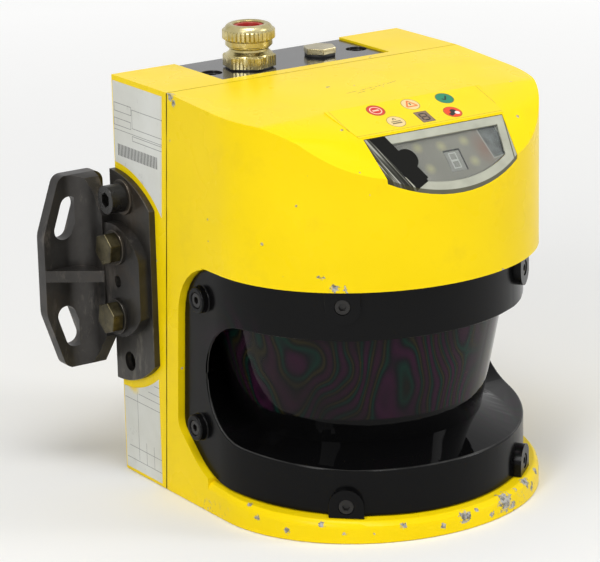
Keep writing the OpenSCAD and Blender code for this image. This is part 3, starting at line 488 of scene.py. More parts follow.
def cover_black():
    """Black plastic of the optics cover: satin skin, polished tunnel, a screen with a painted interference
    sheen, and a painted highlight on the rounded edges of the skin.
    """
    f = Finish("cover_black", COVER_DARK, 0.10, IOR=1.46, Specular_IOR_Level=0.13)
    x, y, z = f.axes()
    screen = f.both(f.fall(f.length(x, y), SCREEN_REACH - 0.3 * MM, SCREEN_REACH + 0.3 * MM),
                    f.fall(z, SCREEN_TOP - 0.3 * MM, SCREEN_TOP + 0.3 * MM),
                    f.without(f.fall(z, SCREEN_FOOT - MM, SCREEN_FOOT + MM)))
    from_end = f.length(f.calc("MAXIMUM", f.calc("ADD", y, SHEEN_BACK), 0.0),
                        f.calc("MINIMUM", f.calc("SUBTRACT", z, SHEEN_HEIGHT), 0.0))
    seen = f.both(screen, f.fall(from_end, SHEEN_RADIUS - 0.5 * MM, SHEEN_RADIUS + 0.5 * MM))
    outer = f.length(x, f.calc("MINIMUM", y, 0.0))
    skin = f.without(f.fall(outer, COVER_SKIN - 0.8 * MM, COVER_SKIN - 0.2 * MM))
    # A painted highlight along the rounded edges of the skin
    lip = f.both(f.fall(outer, COVER_SKIN - 0.4 * MM, COVER_SKIN - 0.1 * MM),
                 f.without(f.fall(outer, COVER_SKIN - 1.1 * MM, COVER_SKIN - 0.7 * MM)),
                 f.ramp(f.grain(45, 4), (0.35, 0.25), (0.6, 1.0)))
    # Painted interference sheen for the screen
    sheen = interference(f)
    # A fainter painted sheen on spots of the skin beside the screen
    beside = f.any(*(f.near(place, reach, 0.6) for place, reach in SHEEN_SPOTS))
    faint = f.both(f.without(seen), f.ramp(f.grain(30, 3), (0.4, 0), (0.6, 0.5)), beside)
    dark = f.blend(lip, COVER_DARK, COVER_LIP_HIGHLIGHT)
    f.colour(f.blend(faint, f.blend(seen, dark, sheen), sheen))
    gloss = f.ramp(f.grain(55, 3), (0.3, 0.03), (0.75, 0.07))
    satin = f.ramp(f.grain(70, 4), (0.3, 0.17), (0.75, 0.27))
    f.rough(f.blend(skin, gloss, satin))
    scuffs = f.both(skin, f.ramp(f.grain(160, 5, 0.7, (1.0, 1.0, 0.35)), (0.66, 0), (0.72, 1)))
    f.bump(f.calc("MULTIPLY", f.grain(900, 2), skin), 0.00002, 0.5)
    f.bump(scuffs, 0.00003, 0.4)
    f.bump(f.grain(60, 2), 0.00002, 0.15)
    return f.material


def plain_finish(name, colour, rough, metal=0.0, spread=0.15, scale=60, relief=0.00002, **more):
    """A finish whose tone and gloss vary softly over the piece, with a fine relief."""
    f = Finish(name, colour, rough, metal, **more)
    light = tuple(min(1.0, c * (1 + spread)) for c in colour)
    dark = tuple(c * (1 - spread) for c in colour)
    f.colour(f.ramp(f.grain(scale, 3), (0.3, dark), (0.7, light)))
    f.rough(f.ramp(f.grain(scale * 1.7, 3), (0.3, rough * 0.85), (0.7, min(1.0, rough * 1.15))))
    f.bump(f.grain(scale * 12, 2), relief, 0.5)
    return f.material


def phosphated(name, colour, rough, edge):
    """Dark phosphated steel with brown stains, lighter in worn streaks; in the edge finish these streaks
    are also part of a painted highlight.
    """
    f = Finish(name, colour, rough, 0.75)
    stains = f.ramp(f.grain(28, 5, 0.65), (0.35, tuple(c * 0.6 for c in colour)), (0.55, colour),
                    (0.75, (colour[0] * 1.5, colour[1] * 1.25, colour[2])))
    # Lighter worn streaks; in the edge finish they are part of its painted highlight
    wear_and_highlight = f.ramp(f.grain(75, 6, 0.7, (1, 1, 0.35)), (0.54, 0), (0.68, 0.9))
    f.colour(f.blend(wear_and_highlight, stains, edge))
    f.rough(f.ramp(f.grain(90, 4), (0.3, rough * 0.8), (0.7, rough * 1.25)))
    f.bump(f.grain(330, 4, 0.6), 0.00008, 0.6)
    return f.material


# The window's and the film's faces lean back from one line across the front
WINDOW_ORIGIN = (0.0, -0.0603, 0.175)
WINDOW_TURN = (math.radians(47), 0, 0)
FILM_TURN = (math.radians(19.5), 0, 0)
CLEAR = (0.92, 0.94, 0.92)
MILK = (0.40, 0.405, 0.33)
TRAY = (0.245, 0.235, 0.205)
# The centre and radius of the round lower side of the milky rim, and the ends of the window's sides
RIM_CENTRE, RIM_RADIUS, JOINT_RADIUS = 29.7, 56.1, 60.0
SIDE_TOP, SIDE_FOOT = (36.2, 0.0), (31.5, -22.0)
STRIP_TURN = 20.4
# Places on the window's face, across and up in millimetres
LAMP_SPOTS = ((-11.5, -7.7), (0.2, -8.9), (12.3, -8.3), (13.0, -18.5), (-10.0, -18.3))


def window_band(f, at):
    """The black band on the window with its round bulge."""
    return f.any(f.patch(at, -24.6, -11.6, 3.7, 15.5, 23.8), f.disc(at, -19.8, -12.6, 5.0),
                 f.patch(at, -18.7, -19.6, 2.9, 4.6, 23.8))


def window_rim(f, at):
    """The milky welded rim of the window, as wide all round."""
    top = f.patch(at, 4.0, 0.0, 34.0, 4.35)
    side = f.patch(at, 34.0, -12.0, 4.3, 15.0, -11.8)
    nose = f.without(f.disc(at, 0.0, RIM_CENTRE, RIM_RADIUS))
    return f.any(top, side, nose)


def window_clear():
    """Clear moulded window with a milky rim, a black band and a streaked strip at its end."""
    f = Finish("window_clear", CLEAR, 0.05, IOR=1.42, Specular_IOR_Level=0.12,
               Transmission_Weight=1.0)
    at = f.face(WINDOW_ORIGIN, WINDOW_TURN)
    band, rim = window_band(f, at), window_rim(f, at)
    strip = f.patch(at, -33.0, -12.5, 4.6, 18.0, STRIP_TURN)
    along = f.tree.nodes.new("ShaderNodeMapping")
    along.vector_type = "TEXTURE"
    along.inputs["Rotation"].default_value = (0, 0, math.radians(STRIP_TURN))
    along.inputs["Scale"].default_value = (1.0, 40.0, 1000)
    f.join(at, along.inputs["Vector"])
    streaks = f.ramp(f.grain(1.1, 2, 0.6, at=along.outputs[0]), (0.40, (0.020, 0.020, 0.016)),
                     (0.52, (0.09, 0.09, 0.075)), (0.62, (0.36, 0.36, 0.31)))
    milk = f.ramp(f.grain(90, 3), (0.35, tuple(0.88 * c for c in MILK)),
                  (0.7, tuple(min(1, 1.1 * c) for c in MILK)))
    solid = f.any(band, rim, strip)
    shade = f.blend(band, f.blend(strip, milk, streaks), (0.008, 0.008, 0.007))
    sides = (f.rule(at, (side * SIDE_TOP[0], SIDE_TOP[1]), (side * SIDE_FOOT[0], SIDE_FOOT[1]), 0.6)
             for side in (1, -1))
    joint = f.any(f.patch(at, 0, 0, 40, 0.4), f.without(f.disc(at, 0.0, RIM_CENTRE, JOINT_RADIUS)), *sides)
    solid = f.any(solid, joint)
    shade = f.blend(f.calc("MULTIPLY", joint, 0.8), shade, (0.05, 0.045, 0.02))
    f.colour(f.blend(solid, CLEAR, shade))
    f.feed(f.shader.inputs["Transmission Weight"], f.without(solid))
    f.rough(f.blend(solid, f.ramp(f.grain(40, 3), (0.3, 0.03), (0.75, 0.10)), (0.22, 0.22, 0.22)))
    f.bump(f.without(rim), 0.00010, 0.5)
    return f.material


def tray_grey():
    """Milky tray under the window, with soft lamp spots and a darker open end."""
    f = Finish("tray_grey", TRAY, 0.5)
    at = f.face(WINDOW_ORIGIN, WINDOW_TURN)
    tone = f.ramp(f.grain(60, 3), (0.3, tuple(0.88 * c for c in TRAY)),
                  (0.7, tuple(1.12 * c for c in TRAY)))
    for x, y in LAMP_SPOTS:
        tone = f.blend(f.calc("MULTIPLY", f.disc(at, x, y, 3.2, soft=0.9), 0.75), tone,
                       (0.50, 0.44, 0.24))
    tone = f.blend(f.calc("MULTIPLY", f.disc(at, 20.5, -13.0, 6.5, 9.5, soft=0.9), 0.6), tone,
                   (0.24, 0.085, 0.055))
    well = f.patch(at, 26.6, -10.8, 4.4, 7.2, 8.0)
    rim = f.calc("SUBTRACT", f.patch(at, 26.6, -10.8, 5.0, 7.8, 8.0), well)
    dark = f.ramp(f.grain(170, 3), (0.35, (0.070, 0.080, 0.085)), (0.65, (0.19, 0.22, 0.23)))
    f.colour(f.blend(f.calc("MULTIPLY", rim, 0.7), f.blend(f.calc("MULTIPLY", well, 0.85), tone, dark),
                     (0.42, 0.42, 0.38)))
    f.rough(f.ramp(f.grain(80, 3), (0.3, 0.4), (0.7, 0.6)))
    return f.material


GLAND_AXIS = (-0.019, 0.05285)
HEXAGON_GROOVES = 42


def gland_brass():
    """Tarnished brass of the gland, with fine grooves down the sides of its hexagon."""
    f = Finish("gland_brass", (0.50, 0.42, 0.19), 0.24, 1.0)
    x, y, z = f.axes()
    stain = f.grain(70, 5, 0.65)
    f.colour(f.ramp(stain, (0.32, (0.30, 0.25, 0.10)), (0.5, (0.48, 0.41, 0.19)),
                    (0.7, (0.62, 0.55, 0.32))))
    f.rough(f.ramp(f.grain(160, 4), (0.3, 0.16), (0.7, 0.34)))
    turn = f.calc("ARCTAN2", f.calc("SUBTRACT", y, GLAND_AXIS[1]), f.calc("SUBTRACT", x, GLAND_AXIS[0]))
    grooves = f.ramp(f.calc("FRACT", f.calc("MULTIPLY", turn, HEXAGON_GROOVES / (2 * math.pi))), (0.0, 0.0),
                     (0.18, 1.0), (0.82, 1.0), (1.0, 0.0))
    grooves = f.blend(f.fall(z, 0.1898, 0.1904), (1.0, 1.0, 1.0), grooves)
    f.bump(grooves, 0.00022, 0.8)
    f.bump(f.grain(700, 3), 0.00002, 0.5)
    return f.material


INK = (0.012, 0.012, 0.012)


def display_grey():
    """Grey face of the digit display with the pale outline of its strokes."""
    f = Finish("display_grey", (0.26, 0.255, 0.24), 0.4)
    at = f.face(WINDOW_ORIGIN, WINDOW_TURN)
    tone = f.ramp(f.grain(200, 3), (0.3, (0.24, 0.235, 0.22)), (0.7, (0.30, 0.295, 0.275)))
    strokes = f.any(f.frame(at, 1.3, 5.2, -16.7, -12.9, 0.5), f.frame(at, 1.3, 5.2, -20.5, -16.6, 0.5))
    f.colour(f.blend(f.calc("MULTIPLY", strokes, 0.85), tone, (0.55, 0.55, 0.53)))
    f.rough(f.ramp(f.grain(90, 3), (0.3, 0.35), (0.7, 0.5)))
    return f.material


def film_yellow():
    """Printed film: six round and square signs and a thin line round its edge."""
    f = Finish("film_yellow", YELLOW, 0.32, IOR=1.47, Specular_IOR_Level=0.25)
    at = f.face(WINDOW_ORIGIN, FILM_TURN)
    tone = f.ramp(f.grain(40, 3), (0.3, (0.86, 0.625, 0.002)), (0.7, (0.91, 0.67, 0.005)))
    tone = f.blend(f.calc("MULTIPLY", f.frame(at, -38.6, 38.6, 2.2, 60, 0.26), 0.8), tone,
                   (0.30, 0.21, 0.02))
    pale, red, green, orange = (0.78, 0.60, 0.28), (0.60, 0.035, 0.020), (0.018, 0.22, 0.115), \
        (0.74, 0.060, 0.012)
    for x, y, fill in ((-17.6, 18.4, red), (0.4, 18.4, pale), (18.4, 18.4, green),
                       (-14.0, 8.0, pale), (15.2, 7.6, orange)):
        tone = f.blend(f.disc(at, x, y, 4.1), tone, fill)
        tone = f.blend(f.calc("MULTIPLY", f.ring(at, x, y, 4.3, 3.95), 0.7), tone, (0.16, 0.10, 0.02))
    tone = f.blend(f.ring(at, -17.6, 18.4, 2.9, 2.35), tone, (0.80, 0.55, 0.42))
    tone = f.blend(f.patch(at, -17.6, 18.4, 1.6, 0.55), tone, (0.80, 0.55, 0.42))
    corners = ((-2.3, 16.8), (3.1, 16.8), (0.4, 21.3))
    for start, end in zip(corners, corners[1:] + corners[:1]):
        tone = f.blend(f.rule(at, start, end, 0.75), tone, (0.72, 0.16, 0.02))
    tone = f.blend(f.rule(at, (0.4, 18.0), (0.4, 19.6), 0.6), tone, INK)
    tick = f.any(f.rule(at, (16.9, 18.4), (18.0, 17.2), 0.75),
                 f.rule(at, (18.0, 17.2), (20.0, 20.2), 0.75))
    tone = f.blend(tick, tone, (0.006, 0.03, 0.02))
    marks = f.any(f.patch(at, -14.0, 6.9, 2.4, 0.45), f.patch(at, -14.0, 8.2, 2.4, 0.3),
                  f.rule(at, (-14.8, 9.3), (-14.0, 10.8), 0.5),
                  f.rule(at, (-14.0, 10.8), (-13.2, 9.3), 0.5))
    tone = f.blend(f.calc("MULTIPLY", marks, 0.8), tone, INK)
    tone = f.blend(f.any(f.disc(at, 15.8, 8.2, 1.5), f.patch(at, 15.0, 6.8, 2.5, 1.0, 28)), tone, INK)
    tone = f.blend(f.disc(at, 17.0, 6.6, 1.2), tone, (0.78, 0.74, 0.66))
    screen = f.patch(at, 0.6, 7.9, 3.3, 4.2)
    tone = f.blend(screen, tone, (0.235, 0.16, 0.105))
    tone = f.blend(f.frame(at, -2.7, 3.9, 3.7, 12.1, 0.35), tone, (0.10, 0.07, 0.04))
    strokes = [f.patch(at, 0.6, 7.9 + d, 1.3, 0.38) for d in (-2.5, 0.0, 2.5)]
    strokes += [f.patch(at, 0.6 + s * 1.6, 7.9 + d, 0.38, 1.0) for s in (-1, 1) for d in (-1.25, 1.25)]
    tone = f.blend(f.any(*strokes), tone, INK)
    f.colour(tone)
    f.rough(f.ramp(f.grain(60, 3), (0.3, 0.26), (0.7, 0.40)))
    f.bump(f.grain(400, 2), 0.00002, 0.3)
    return f.material


LABEL_ORIGIN = (-0.0777, 0.075, 0.0)
LABEL_TURN = tuple(Matrix(((0, 0, -1), (-1, 0, 0), (0, 1, 0))).to_euler())
# Ruled boxes and lines, along and up in millimetres
LABEL_BOXES = ((1.7, 16.4, 169.0, 173.0), (1.2, 15.9, 162.6, 166.0), (16.8, 42.4, 163.3, 172.0),
               (16.7, 42.0, 157.6, 160.0))
UPRIGHT_RULES = ((12.3, 7, 40), (18.9, 6.5, 17), (25.5, 6.5, 17))
LEVEL_RULES = ((35.3, 1.5, 33.5), (39.2, 13.4, 33.7), (42.6, 22, 34), (46.7, 27.7, 33.6), (12.5, 4, 31.7),
               (6.4, 1.5, 33))


def label_white():
    """White printed labels with faint ruled boxes, greyed with dirt and torn at a corner."""
    f = Finish("label_white", (0.62, 0.62, 0.57), 0.42, IOR=1.45, Specular_IOR_Level=0.3)
    at = f.face(LABEL_ORIGIN, LABEL_TURN)
    tone = f.ramp(f.grain(30, 4, 0.6), (0.3, (0.57, 0.57, 0.51)), (0.7, (0.68, 0.69, 0.65)))
    lines = [f.frame(at, *box, 0.28) for box in LABEL_BOXES]
    lines.append(f.rule(at, (1.0, 160.7), (42.4, 160.7), 0.25))
    lines += [f.rule(at, (u, low), (u, high), 0.28) for u, low, high in UPRIGHT_RULES]
    lines += [f.rule(at, (start, z), (end, z), 0.28) for z, start, end in LEVEL_RULES]
    tone = f.blend(f.calc("MULTIPLY", f.any(*lines), 0.72), tone, (0.035, 0.035, 0.04))
    along = f.tree.nodes.new("ShaderNodeSeparateXYZ")
    f.join(at, along.inputs[0])
    hatch = f.calc("LESS_THAN", f.calc("FRACT", f.calc("MULTIPLY", along.outputs[0], 0.8)), 0.55)
    block = f.both(f.patch(at, 20.7, 151.6, 16.9, 2.7), hatch)
    tone = f.blend(f.calc("MULTIPLY", block, 0.92), tone, (0.02, 0.02, 0.025))
    torn = f.both(f.disc(at, 8.0, 42.5, 7.0, 4.2, -20, soft=0.7),
                  f.ramp(f.grain(300, 3), (0.40, 0), (0.45, 1)))
    tone = f.blend(torn, tone, (0.80, 0.58, 0.02))
    grime = f.ramp(f.grain(150, 5, 0.7), (0.62, 0), (0.80, 0.5))
    f.colour(f.blend(grime, tone, (0.16, 0.15, 0.12)))
    f.rough(f.ramp(f.grain(90, 3), (0.3, 0.34), (0.7, 0.50)))
    f.bump(f.grain(200, 2), 0.00002, 0.3)
    return f.material


FINISHES = {
    "yellow_paint": yellow_paint(),
    "cover_black": cover_black(),
    "seal_black": plain_finish("seal_black", (0.012, 0.012, 0.012), 0.6),
    "screw_black": plain_finish("screw_black", (0.016, 0.015, 0.014), 0.28, 0.5, spread=0.4),
    "screw_zinc": plain_finish("screw_zinc", (0.55, 0.54, 0.50), 0.3, 1.0),
    "window_clear": window_clear(),
    "mask_black": plain_finish("mask_black", (0.010, 0.010, 0.009), 0.3),
    "board_green": plain_finish("board_green", (0.02, 0.10, 0.05), 0.4),
    "display_grey": display_grey(),
    "lamp_yellow": plain_finish("lamp_yellow", (0.62, 0.60, 0.40), 0.35, spread=0.05),
    "film_yellow": film_yellow(),
    "plate_black": plain_finish("plate_black", (0.014, 0.014, 0.015), 0.16),
    "gland_brass": gland_brass(),
    "insert_red": plain_finish("insert_red", (0.42, 0.02, 0.015), 0.45),
    "plug_metal": plain_finish("plug_metal", (0.44, 0.39, 0.24), 0.30, 1.0, scale=110),
    "label_white": label_white(),
    "tray_grey": tray_grey(),
    "plate_steel": phosphated("plate_steel", (0.050, 0.046, 0.040), 0.38, (0.13, 0.12, 0.10)),
    "bracket_iron": phosphated("bracket_iron", (0.046, 0.043, 0.040), 0.40, (0.13, 0.115, 0.10)),
    # Lighter finish of the rounded edges: worn metal and a painted highlight
    "worn_edge_and_highlight": phosphated("worn_edge_and_highlight", (0.090, 0.082, 0.070), 0.34, (0.34, 0.32, 0.28)),
    "bolt_olive": plain_finish("bolt_olive", (0.078, 0.066, 0.034), 0.32, 0.9, spread=0.6, scale=160),
    "connector_grey": plain_finish("connector_grey", (0.10, 0.10, 0.10), 0.5),
    "terminal_green": plain_finish("terminal_green", (0.04, 0.22, 0.10), 0.45),
    "motor_alu": plain_finish("motor_alu", (0.62, 0.62, 0.63), 0.35, 1.0),
    "bearing_steel": plain_finish("bearing_steel", (0.60, 0.60, 0.60), 0.2, 1.0),
    "carrier_black": plain_finish("carrier_black", (0.02, 0.02, 0.02), 0.5),
    "mirror_glass": plain_finish("mirror_glass", (0.88, 0.89, 0.90), 0.02, 1.0, spread=0.02),
    "disc_steel": plain_finish("disc_steel", (0.55, 0.55, 0.56), 0.25, 1.0),
    "lens_glass": plain_finish("lens_glass", (0.10, 0.02, 0.03), 0.05, spread=0.1),
    "tube_black": plain_finish("tube_black", (0.02, 0.02, 0.02), 0.45),
    "laser_brass": plain_finish("laser_brass", (0.60, 0.45, 0.18), 0.25, 1.0),
}


# ---------------------------------------------------------------- pieces over the CAD nodes
# The nodes that wear each slot's finish
SLOTS = {
    "yellow_paint": "rear_housing front_housing",
    "cover_black": "optics_cover",
    "seal_black": "housing_seal cover_seal plate_seal gland_washer blanking_plug_ring",
    "screw_black": "cover_screws plate_screws side_plate_screw",
    "screw_zinc": "housing_screws motor_screws board_spacers",
    "window_clear": "display_window",
    "mask_black": "window_mask",
    "board_green": "indicator_board receiver_board main_board",
    "display_grey": "digit_display",
    "lamp_yellow": "status_lamps",
    "film_yellow": "icon_film",
    "plate_black": "connector_plate",
    "gland_brass": "gland_body gland_nut",
    "insert_red": "gland_insert",
    "plug_metal": "blanking_plug",
    "label_white": "upper_label lower_label",
    "plate_steel": "side_plate side_plate_washer tilt_pin clamp_washers",
    "bracket_iron": "wall_bracket",
    "bolt_olive": "clamp_bolts",
    "connector_grey": "plug_housing",
    "terminal_green": "terminal_strip",
    "motor_alu": "motor",
    "bearing_steel": "motor_bearings",
    "carrier_black": "mirror_carrier",
    "mirror_glass": "scan_mirror",
    "disc_steel": "encoder_disc",
    "lens_glass": "receiver_lens",
    "tube_black": "lens_tube",
    "laser_brass": "laser_module",
}
SLOT_OF = {node: slot for slot, nodes in SLOTS.items() for node in nodes.split()}


def deselect():
    """Leaves no object selected, in object mode."""
    if bpy.context.mode != "OBJECT":
        bpy.ops.object.mode_set(mode="OBJECT")
    bpy.ops.object.select_all(action="DESELECT")


def make_active(piece):
    """Selects one piece alone and makes it the active one."""
    deselect()
    piece.select_set(True)
    bpy.context.view_layer.objects.active = piece


def paint(piece, slot):
    """Gives a piece one finish in place of any it has."""
    piece.data.materials.clear()
    piece.data.materials.append(FINISHES[slot])


# Slots whose rounded edges get a lighter finish: worn metal and a painted highlight
EDGE_WEAR_AND_HIGHLIGHT = ("plate_steel", "bracket_iron")
# Corners closer than this are one
MERGE_REACH = 0.002 * MM
# Angle in degrees from which an edge is sharp
SHARP = 32
# Angle in degrees up to which two faces are one
FLAT = 0.4
NORMAL_WEIGHT = 90


def settle(piece, slot, body, replaced=(), smooth=SHARP, round_mm=0.0, steps=2, even=False):
    """Rounds a finished piece's sharp edges, paints it and puts it on its body."""
    make_active(piece)
    paint(piece, slot)
    # The lighter edge finish is worn metal and a painted highlight
    wear_and_highlight = slot in EDGE_WEAR_AND_HIGHLIGHT
    if wear_and_highlight:
        piece.data.materials.append(FINISHES["worn_edge_and_highlight"])
    if round_mm:
        edge = piece.modifiers.new("rounded_edges", "BEVEL")
        edge.width = round_mm * MM
        edge.segments = steps
        edge.limit_method = "ANGLE"
        edge.angle_limit = math.radians(SHARP)
        edge.use_clamp_overlap = True
        edge.miter_outer = "MITER_ARC"
        if wear_and_highlight:
            edge.material = 1
        bpy.ops.object.modifier_apply(modifier=edge.name)
    bpy.ops.object.shade_smooth_by_angle(angle=math.radians(smooth))
    if round_mm or even:
        shading = piece.modifiers.new("even_shading", "WEIGHTED_NORMAL")
        shading.keep_sharp = True
        shading.weight = NORMAL_WEIGHT
        bpy.ops.object.modifier_apply(modifier=shading.name)
    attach(piece, body)
    for node in replaced:
        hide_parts(node)


def copied(node, name=None):
    """A merged copy of a node with its flat faces joined, left as the active object in edit mode."""
    source = frame["nodes"][node]
    make_active(source)
    bpy.ops.object.duplicate()
    piece = bpy.context.object
    piece.parent = None
    piece.matrix_world = Matrix.Identity(4)
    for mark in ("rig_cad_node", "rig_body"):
        if mark in piece:
            del piece[mark]
    piece.name = name or node + "_finished"
    make_active(piece)
    if piece.data.has_custom_normals:
        bpy.ops.mesh.customdata_custom_splitnormals_clear()
    bpy.ops.object.mode_set(mode="EDIT")
    bpy.ops.mesh.select_all(action="SELECT")
    bpy.ops.mesh.remove_doubles(threshold=MERGE_REACH)
    bpy.ops.mesh.dissolve_limited(angle_limit=math.radians(FLAT))
    return piece


def softened(node, round_mm=0.0, steps=2):
    """A copy of a node with its sharp edges rounded and its curves smooth."""
    piece = copied(node)
    bpy.ops.object.mode_set(mode="OBJECT")
    settle(piece, SLOT_OF[node], BODY_OF[node], (node,), round_mm=round_mm, steps=steps)


def pick(piece, kind, test):
    """Selects the faces, edges or corners of a piece in edit mode that pass a test."""
    bpy.ops.mesh.select_mode(type=kind)
    bpy.ops.mesh.select_all(action="DESELECT")
    mesh = bmesh.from_edit_mesh(piece.data)
    for item in {"FACE": mesh.faces, "EDGE": mesh.edges, "VERT": mesh.verts}[kind]:
        item.select_set(bool(test(item)))
    mesh.select_flush_mode()
    bmesh.update_edit_mesh(piece.data)


def plane_of(origin, turn):
    """The matrix that carries millimetres on a face into the frame."""
    return Matrix.Translation(origin) @ Matrix.Rotation(turn[0], 4, "X") @ Matrix.Scale(MM, 4)


WINDOW_PLANE = plane_of(WINDOW_ORIGIN, WINDOW_TURN)
FILM_PLANE = plane_of(WINDOW_ORIGIN, FILM_TURN)


def block(name, plane, low, high):
    """A block on a sloping face between two corners given in millimetres."""
    deselect()
    middle = [(a + b) / 2 for a, b in zip(low, high)]
    bpy.ops.mesh.primitive_cube_add(size=1, location=middle)
    piece = bpy.context.object
    piece.name = name
    piece.scale = [b - a for a, b in zip(low, high)]
    bpy.ops.object.transform_apply(location=True, rotation=True, scale=True)
    piece.data.transform(plane)
    return piece


# The tray under the window, in millimetres: inset of its side, how far its foot lies below the window's
# face, its height, and the width and depth of the step inside its lip
TRAY_INSET, TRAY_DROP, TRAY_HEIGHT, TRAY_STEP = 4.1, 2.95, 1.4, 0.6
DISPLAY_FRAME = ((-0.4, -21.8, -2.8), (8.2, -11.2, -2.1))
DISPLAY_DIGIT = ((-0.4, -21.8, -2.6), (7.2, -12.2, -1.85))


def make_window():
    """The tray under the window, the display in its frame and the clear window itself."""
    tray = copied("display_window", "window_tray")
    out = (WINDOW_PLANE.to_3x3() @ Vector((0, 0, 1))).normalized()
    pick(tray, "FACE", lambda face: face.normal.dot(out) > 0.99)
    bpy.ops.mesh.inset(thickness=TRAY_INSET * MM, depth=0)
    bpy.ops.mesh.select_all(action="INVERT")
    bpy.ops.mesh.delete(type="FACE")
    bpy.ops.mesh.select_all(action="SELECT")
    bpy.ops.transform.translate(value=out * -TRAY_DROP * MM)
    bpy.ops.mesh.extrude_region_move(TRANSFORM_OT_translate={"value": out * TRAY_HEIGHT * MM})
    bpy.ops.mesh.inset(thickness=TRAY_STEP * MM, depth=-TRAY_STEP * MM)
    bpy.ops.mesh.select_all(action="SELECT")
    bpy.ops.mesh.normals_make_consistent(inside=False)
    bpy.ops.object.mode_set(mode="OBJECT")
    settle(tray, "tray_grey", "scanner", ("indicator_board", "window_mask", "status_lamps"),
           round_mm=0.12, steps=1)
    bed = block("display_frame", WINDOW_PLANE, *DISPLAY_FRAME)
    settle(bed, "mask_black", "scanner", round_mm=0.05, steps=1)
    digit = block("digit_display_finished", WINDOW_PLANE, *DISPLAY_DIGIT)
    settle(digit, "display_grey", "scanner", ("digit_display",), round_mm=0.1, steps=1)
    softened("display_window", 0.12, steps=1)


# Where the front screw tabs stand, across to either side and along, and how far they reach
TAB_PLACE, TAB_REACH = (0.0453, -0.0585), 0.0092
COVER_ROUNDING = 0.7


def make_cover():
    """The optics cover, with the outer edges of its opening and of its rings rounded."""
    cover = copied("optics_cover")

    def on_skin(face):
        middle = face.calc_center_median()
        return math.hypot(middle.x, min(middle.y, 0)) > COVER_SKIN - 0.6 * MM \
            and abs(face.normal.z) < 0.3

    def by_tab(edge):
        middle = (edge.verts[0].co + edge.verts[1].co) / 2
        return math.hypot(abs(middle.x) - TAB_PLACE[0], middle.y - TAB_PLACE[1]) < TAB_REACH

    pick(cover, "EDGE", lambda edge: edge.is_manifold and edge.calc_face_angle(0) > 0.6
         and any(on_skin(face) for face in edge.link_faces) and not by_tab(edge))
    bpy.ops.mesh.bevel(offset=COVER_ROUNDING * MM, segments=3, clamp_overlap=False)
    bpy.ops.object.mode_set(mode="OBJECT")
    settle(cover, "cover_black", "scanner", ("optics_cover",), smooth=38, even=True)


def turned(name, centre, rings, sides=96):
    """A turned form that rises ring by ring, each a radius and a height in millimetres."""
    deselect()
    radius, height = rings[0]
    bpy.ops.mesh.primitive_circle_add(vertices=sides, radius=radius * MM, fill_type="NGON",
                                      location=(*centre, height * MM))
    piece = bpy.context.object
    piece.name = name
    bpy.ops.object.transform_apply(location=True, rotation=True, scale=True)
    bpy.ops.object.mode_set(mode="EDIT")
    bpy.ops.mesh.select_all(action="SELECT")
    for wide, high in rings[1:]:
        bpy.ops.mesh.extrude_region_move(
            TRANSFORM_OT_translate={"value": (0, 0, (high - height) * MM)})
        bpy.ops.transform.resize(value=(wide / radius, wide / radius, 1),
                                 center_override=(*centre, high * MM))
        radius, height = wide, high
    bpy.ops.mesh.select_all(action="SELECT")
    bpy.ops.mesh.normals_make_consistent(inside=False)
    return piece


# Rings of the gland's hexagon, body and nut from below up, each a radius and a height in millimetres
HEXAGON_RINGS = ((12.3, 184.8), (12.3, 189.6), (11.4, 190.2))
BODY_RINGS = (
    (9.6, 176.2), (9.6, 184.6), (10.7, 184.8), (10.7, 190.0), (10.5, 190.5), (9.6, 191.1),
    (8.9, 191.9), (8.8, 192.8), (9.0, 193.3), (9.7, 193.5), (9.7, 193.9), (7.4, 194.0), (7.4, 198.0),
)
NUT_RINGS = (
    (9.6, 194.1), (10.4, 194.2), (10.6, 194.4), (10.6, 196.5), (10.4, 196.8), (10.4, 197.1),
    (11.5, 197.2), (11.9, 197.5), (11.9, 201.0), (11.5, 201.5), (10.8, 201.8), (10.6, 202.2),
    (10.2, 202.9), (9.5, 203.5), (8.6, 203.85), (7.7, 203.85), (7.1, 203.6), (6.85, 203.2),
    (6.85, 198.2),
)
HEXAGON_TURN = 12
NUT_SIDES, SIDES_TO_A_RIB = 144, 4
# Foot and top of the nut's grooves, and how far they are drawn in
GROOVE_FOOT, GROOVE_TOP, GROOVE_SHARE = 0.1973, 0.2013, 0.945


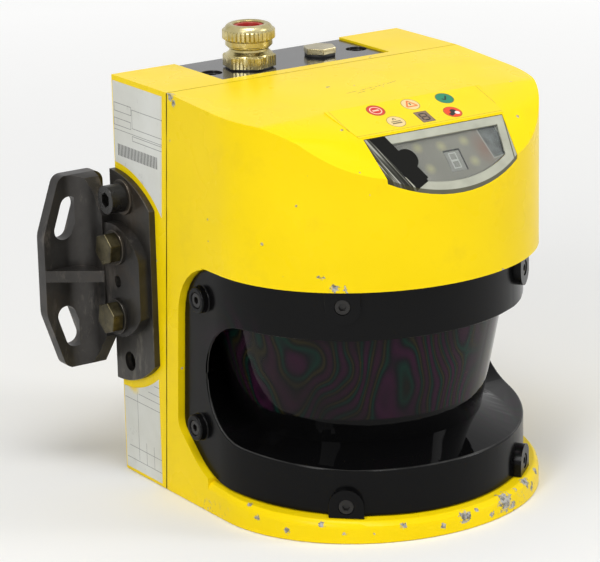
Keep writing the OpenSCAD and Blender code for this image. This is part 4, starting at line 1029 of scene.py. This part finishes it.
def make_gland():
    """The cable gland: a grooved hexagon with a waist, and a ribbed nut with a domed rim."""
    hexagon = turned("gland_hexagon", GLAND_AXIS, HEXAGON_RINGS, 6)
    bpy.ops.transform.rotate(value=math.radians(HEXAGON_TURN), orient_axis="Z",
                             center_override=(*GLAND_AXIS, 0.184))
    pick(hexagon, "EDGE", lambda edge: abs(edge.verts[0].co.z - edge.verts[1].co.z) > 2 * MM)
    bpy.ops.mesh.bevel(offset=0.8 * MM, segments=3)
    bpy.ops.object.mode_set(mode="OBJECT")
    body = turned("gland_body_finished", GLAND_AXIS, BODY_RINGS)
    bpy.ops.object.mode_set(mode="OBJECT")
    hexagon.select_set(True)
    bpy.ops.object.join()
    settle(body, "gland_brass", "scanner", ("gland_body",), smooth=28)
    nut = turned("gland_nut_finished", GLAND_AXIS, NUT_RINGS, NUT_SIDES)

    def in_groove(corner):
        turn = math.atan2(corner.co.y - GLAND_AXIS[1], corner.co.x - GLAND_AXIS[0])
        side = round(turn / math.radians(360 / NUT_SIDES))
        return GROOVE_FOOT < corner.co.z < GROOVE_TOP and side % SIDES_TO_A_RIB == 0

    pick(nut, "VERT", in_groove)
    bpy.ops.transform.resize(value=(GROOVE_SHARE, GROOVE_SHARE, 1),
                             center_override=(*GLAND_AXIS, (GROOVE_FOOT + GROOVE_TOP) / 2))
    bpy.ops.object.mode_set(mode="OBJECT")
    settle(nut, "gland_brass", "scanner", ("gland_nut",), smooth=30)


# The tilt pin's ends lie on either side of this plane; the outer one is sunk by this many millimetres
PIN_MIDDLE, PIN_SUNK = -0.084, 2.4


def make_pin():
    """The tilt pin, sunk in its bore."""
    pin = copied("tilt_pin")
    pick(pin, "VERT", lambda corner: corner.co.x < PIN_MIDDLE)
    bpy.ops.transform.translate(value=(PIN_SUNK * MM, 0, 0))
    bpy.ops.object.mode_set(mode="OBJECT")
    settle(pin, "plate_steel", BODY_OF["tilt_pin"], ("tilt_pin",), round_mm=0.3)


# Height on the slope above which the film's corners are its upper edge, and how far that edge moves up
FILM_EDGE, FILM_RISE = 20, 3.2


def make_film():
    """The printed film, with its upper edge drawn further up the slope."""
    film = copied("icon_film")
    up = (FILM_PLANE.to_3x3() @ Vector((0, 1, 0))).normalized()
    origin = Vector(WINDOW_ORIGIN)
    pick(film, "VERT", lambda corner: (corner.co - origin).dot(up) > FILM_EDGE * MM)
    bpy.ops.transform.translate(value=up * FILM_RISE * MM)
    bpy.ops.object.mode_set(mode="OBJECT")
    settle(film, "film_yellow", "scanner", ("icon_film",))


def dress_nodes():
    """Paints every node that the solids brought."""
    for node, piece in frame["nodes"].items():
        paint(piece, SLOT_OF[node])


# Radius of each node's edges, in millimetres
ROUNDED = {
    "rear_housing": 0.5, "front_housing": 0.6, "housing_seal": 0.0, "housing_screws": 0.2,
    "cover_seal": 0.0, "cover_screws": 0.3, "connector_plate": 0.3, "plate_screws": 0.3,
    "gland_insert": 0.4, "gland_washer": 0.2, "blanking_plug": 0.35, "blanking_plug_ring": 0.3,
    "upper_label": 0.0, "lower_label": 0.0, "side_plate": 0.6, "side_plate_screw": 0.5,
    "side_plate_washer": 0.3, "clamp_bolts": 0.4, "clamp_washers": 0.3, "wall_bracket": 0.8,
}

set_camera()
lay_floor()
set_lights()
dress_nodes()
for node, width in ROUNDED.items():
    softened(node, width)
make_cover()
make_window()
make_film()
make_gland()
make_pin()
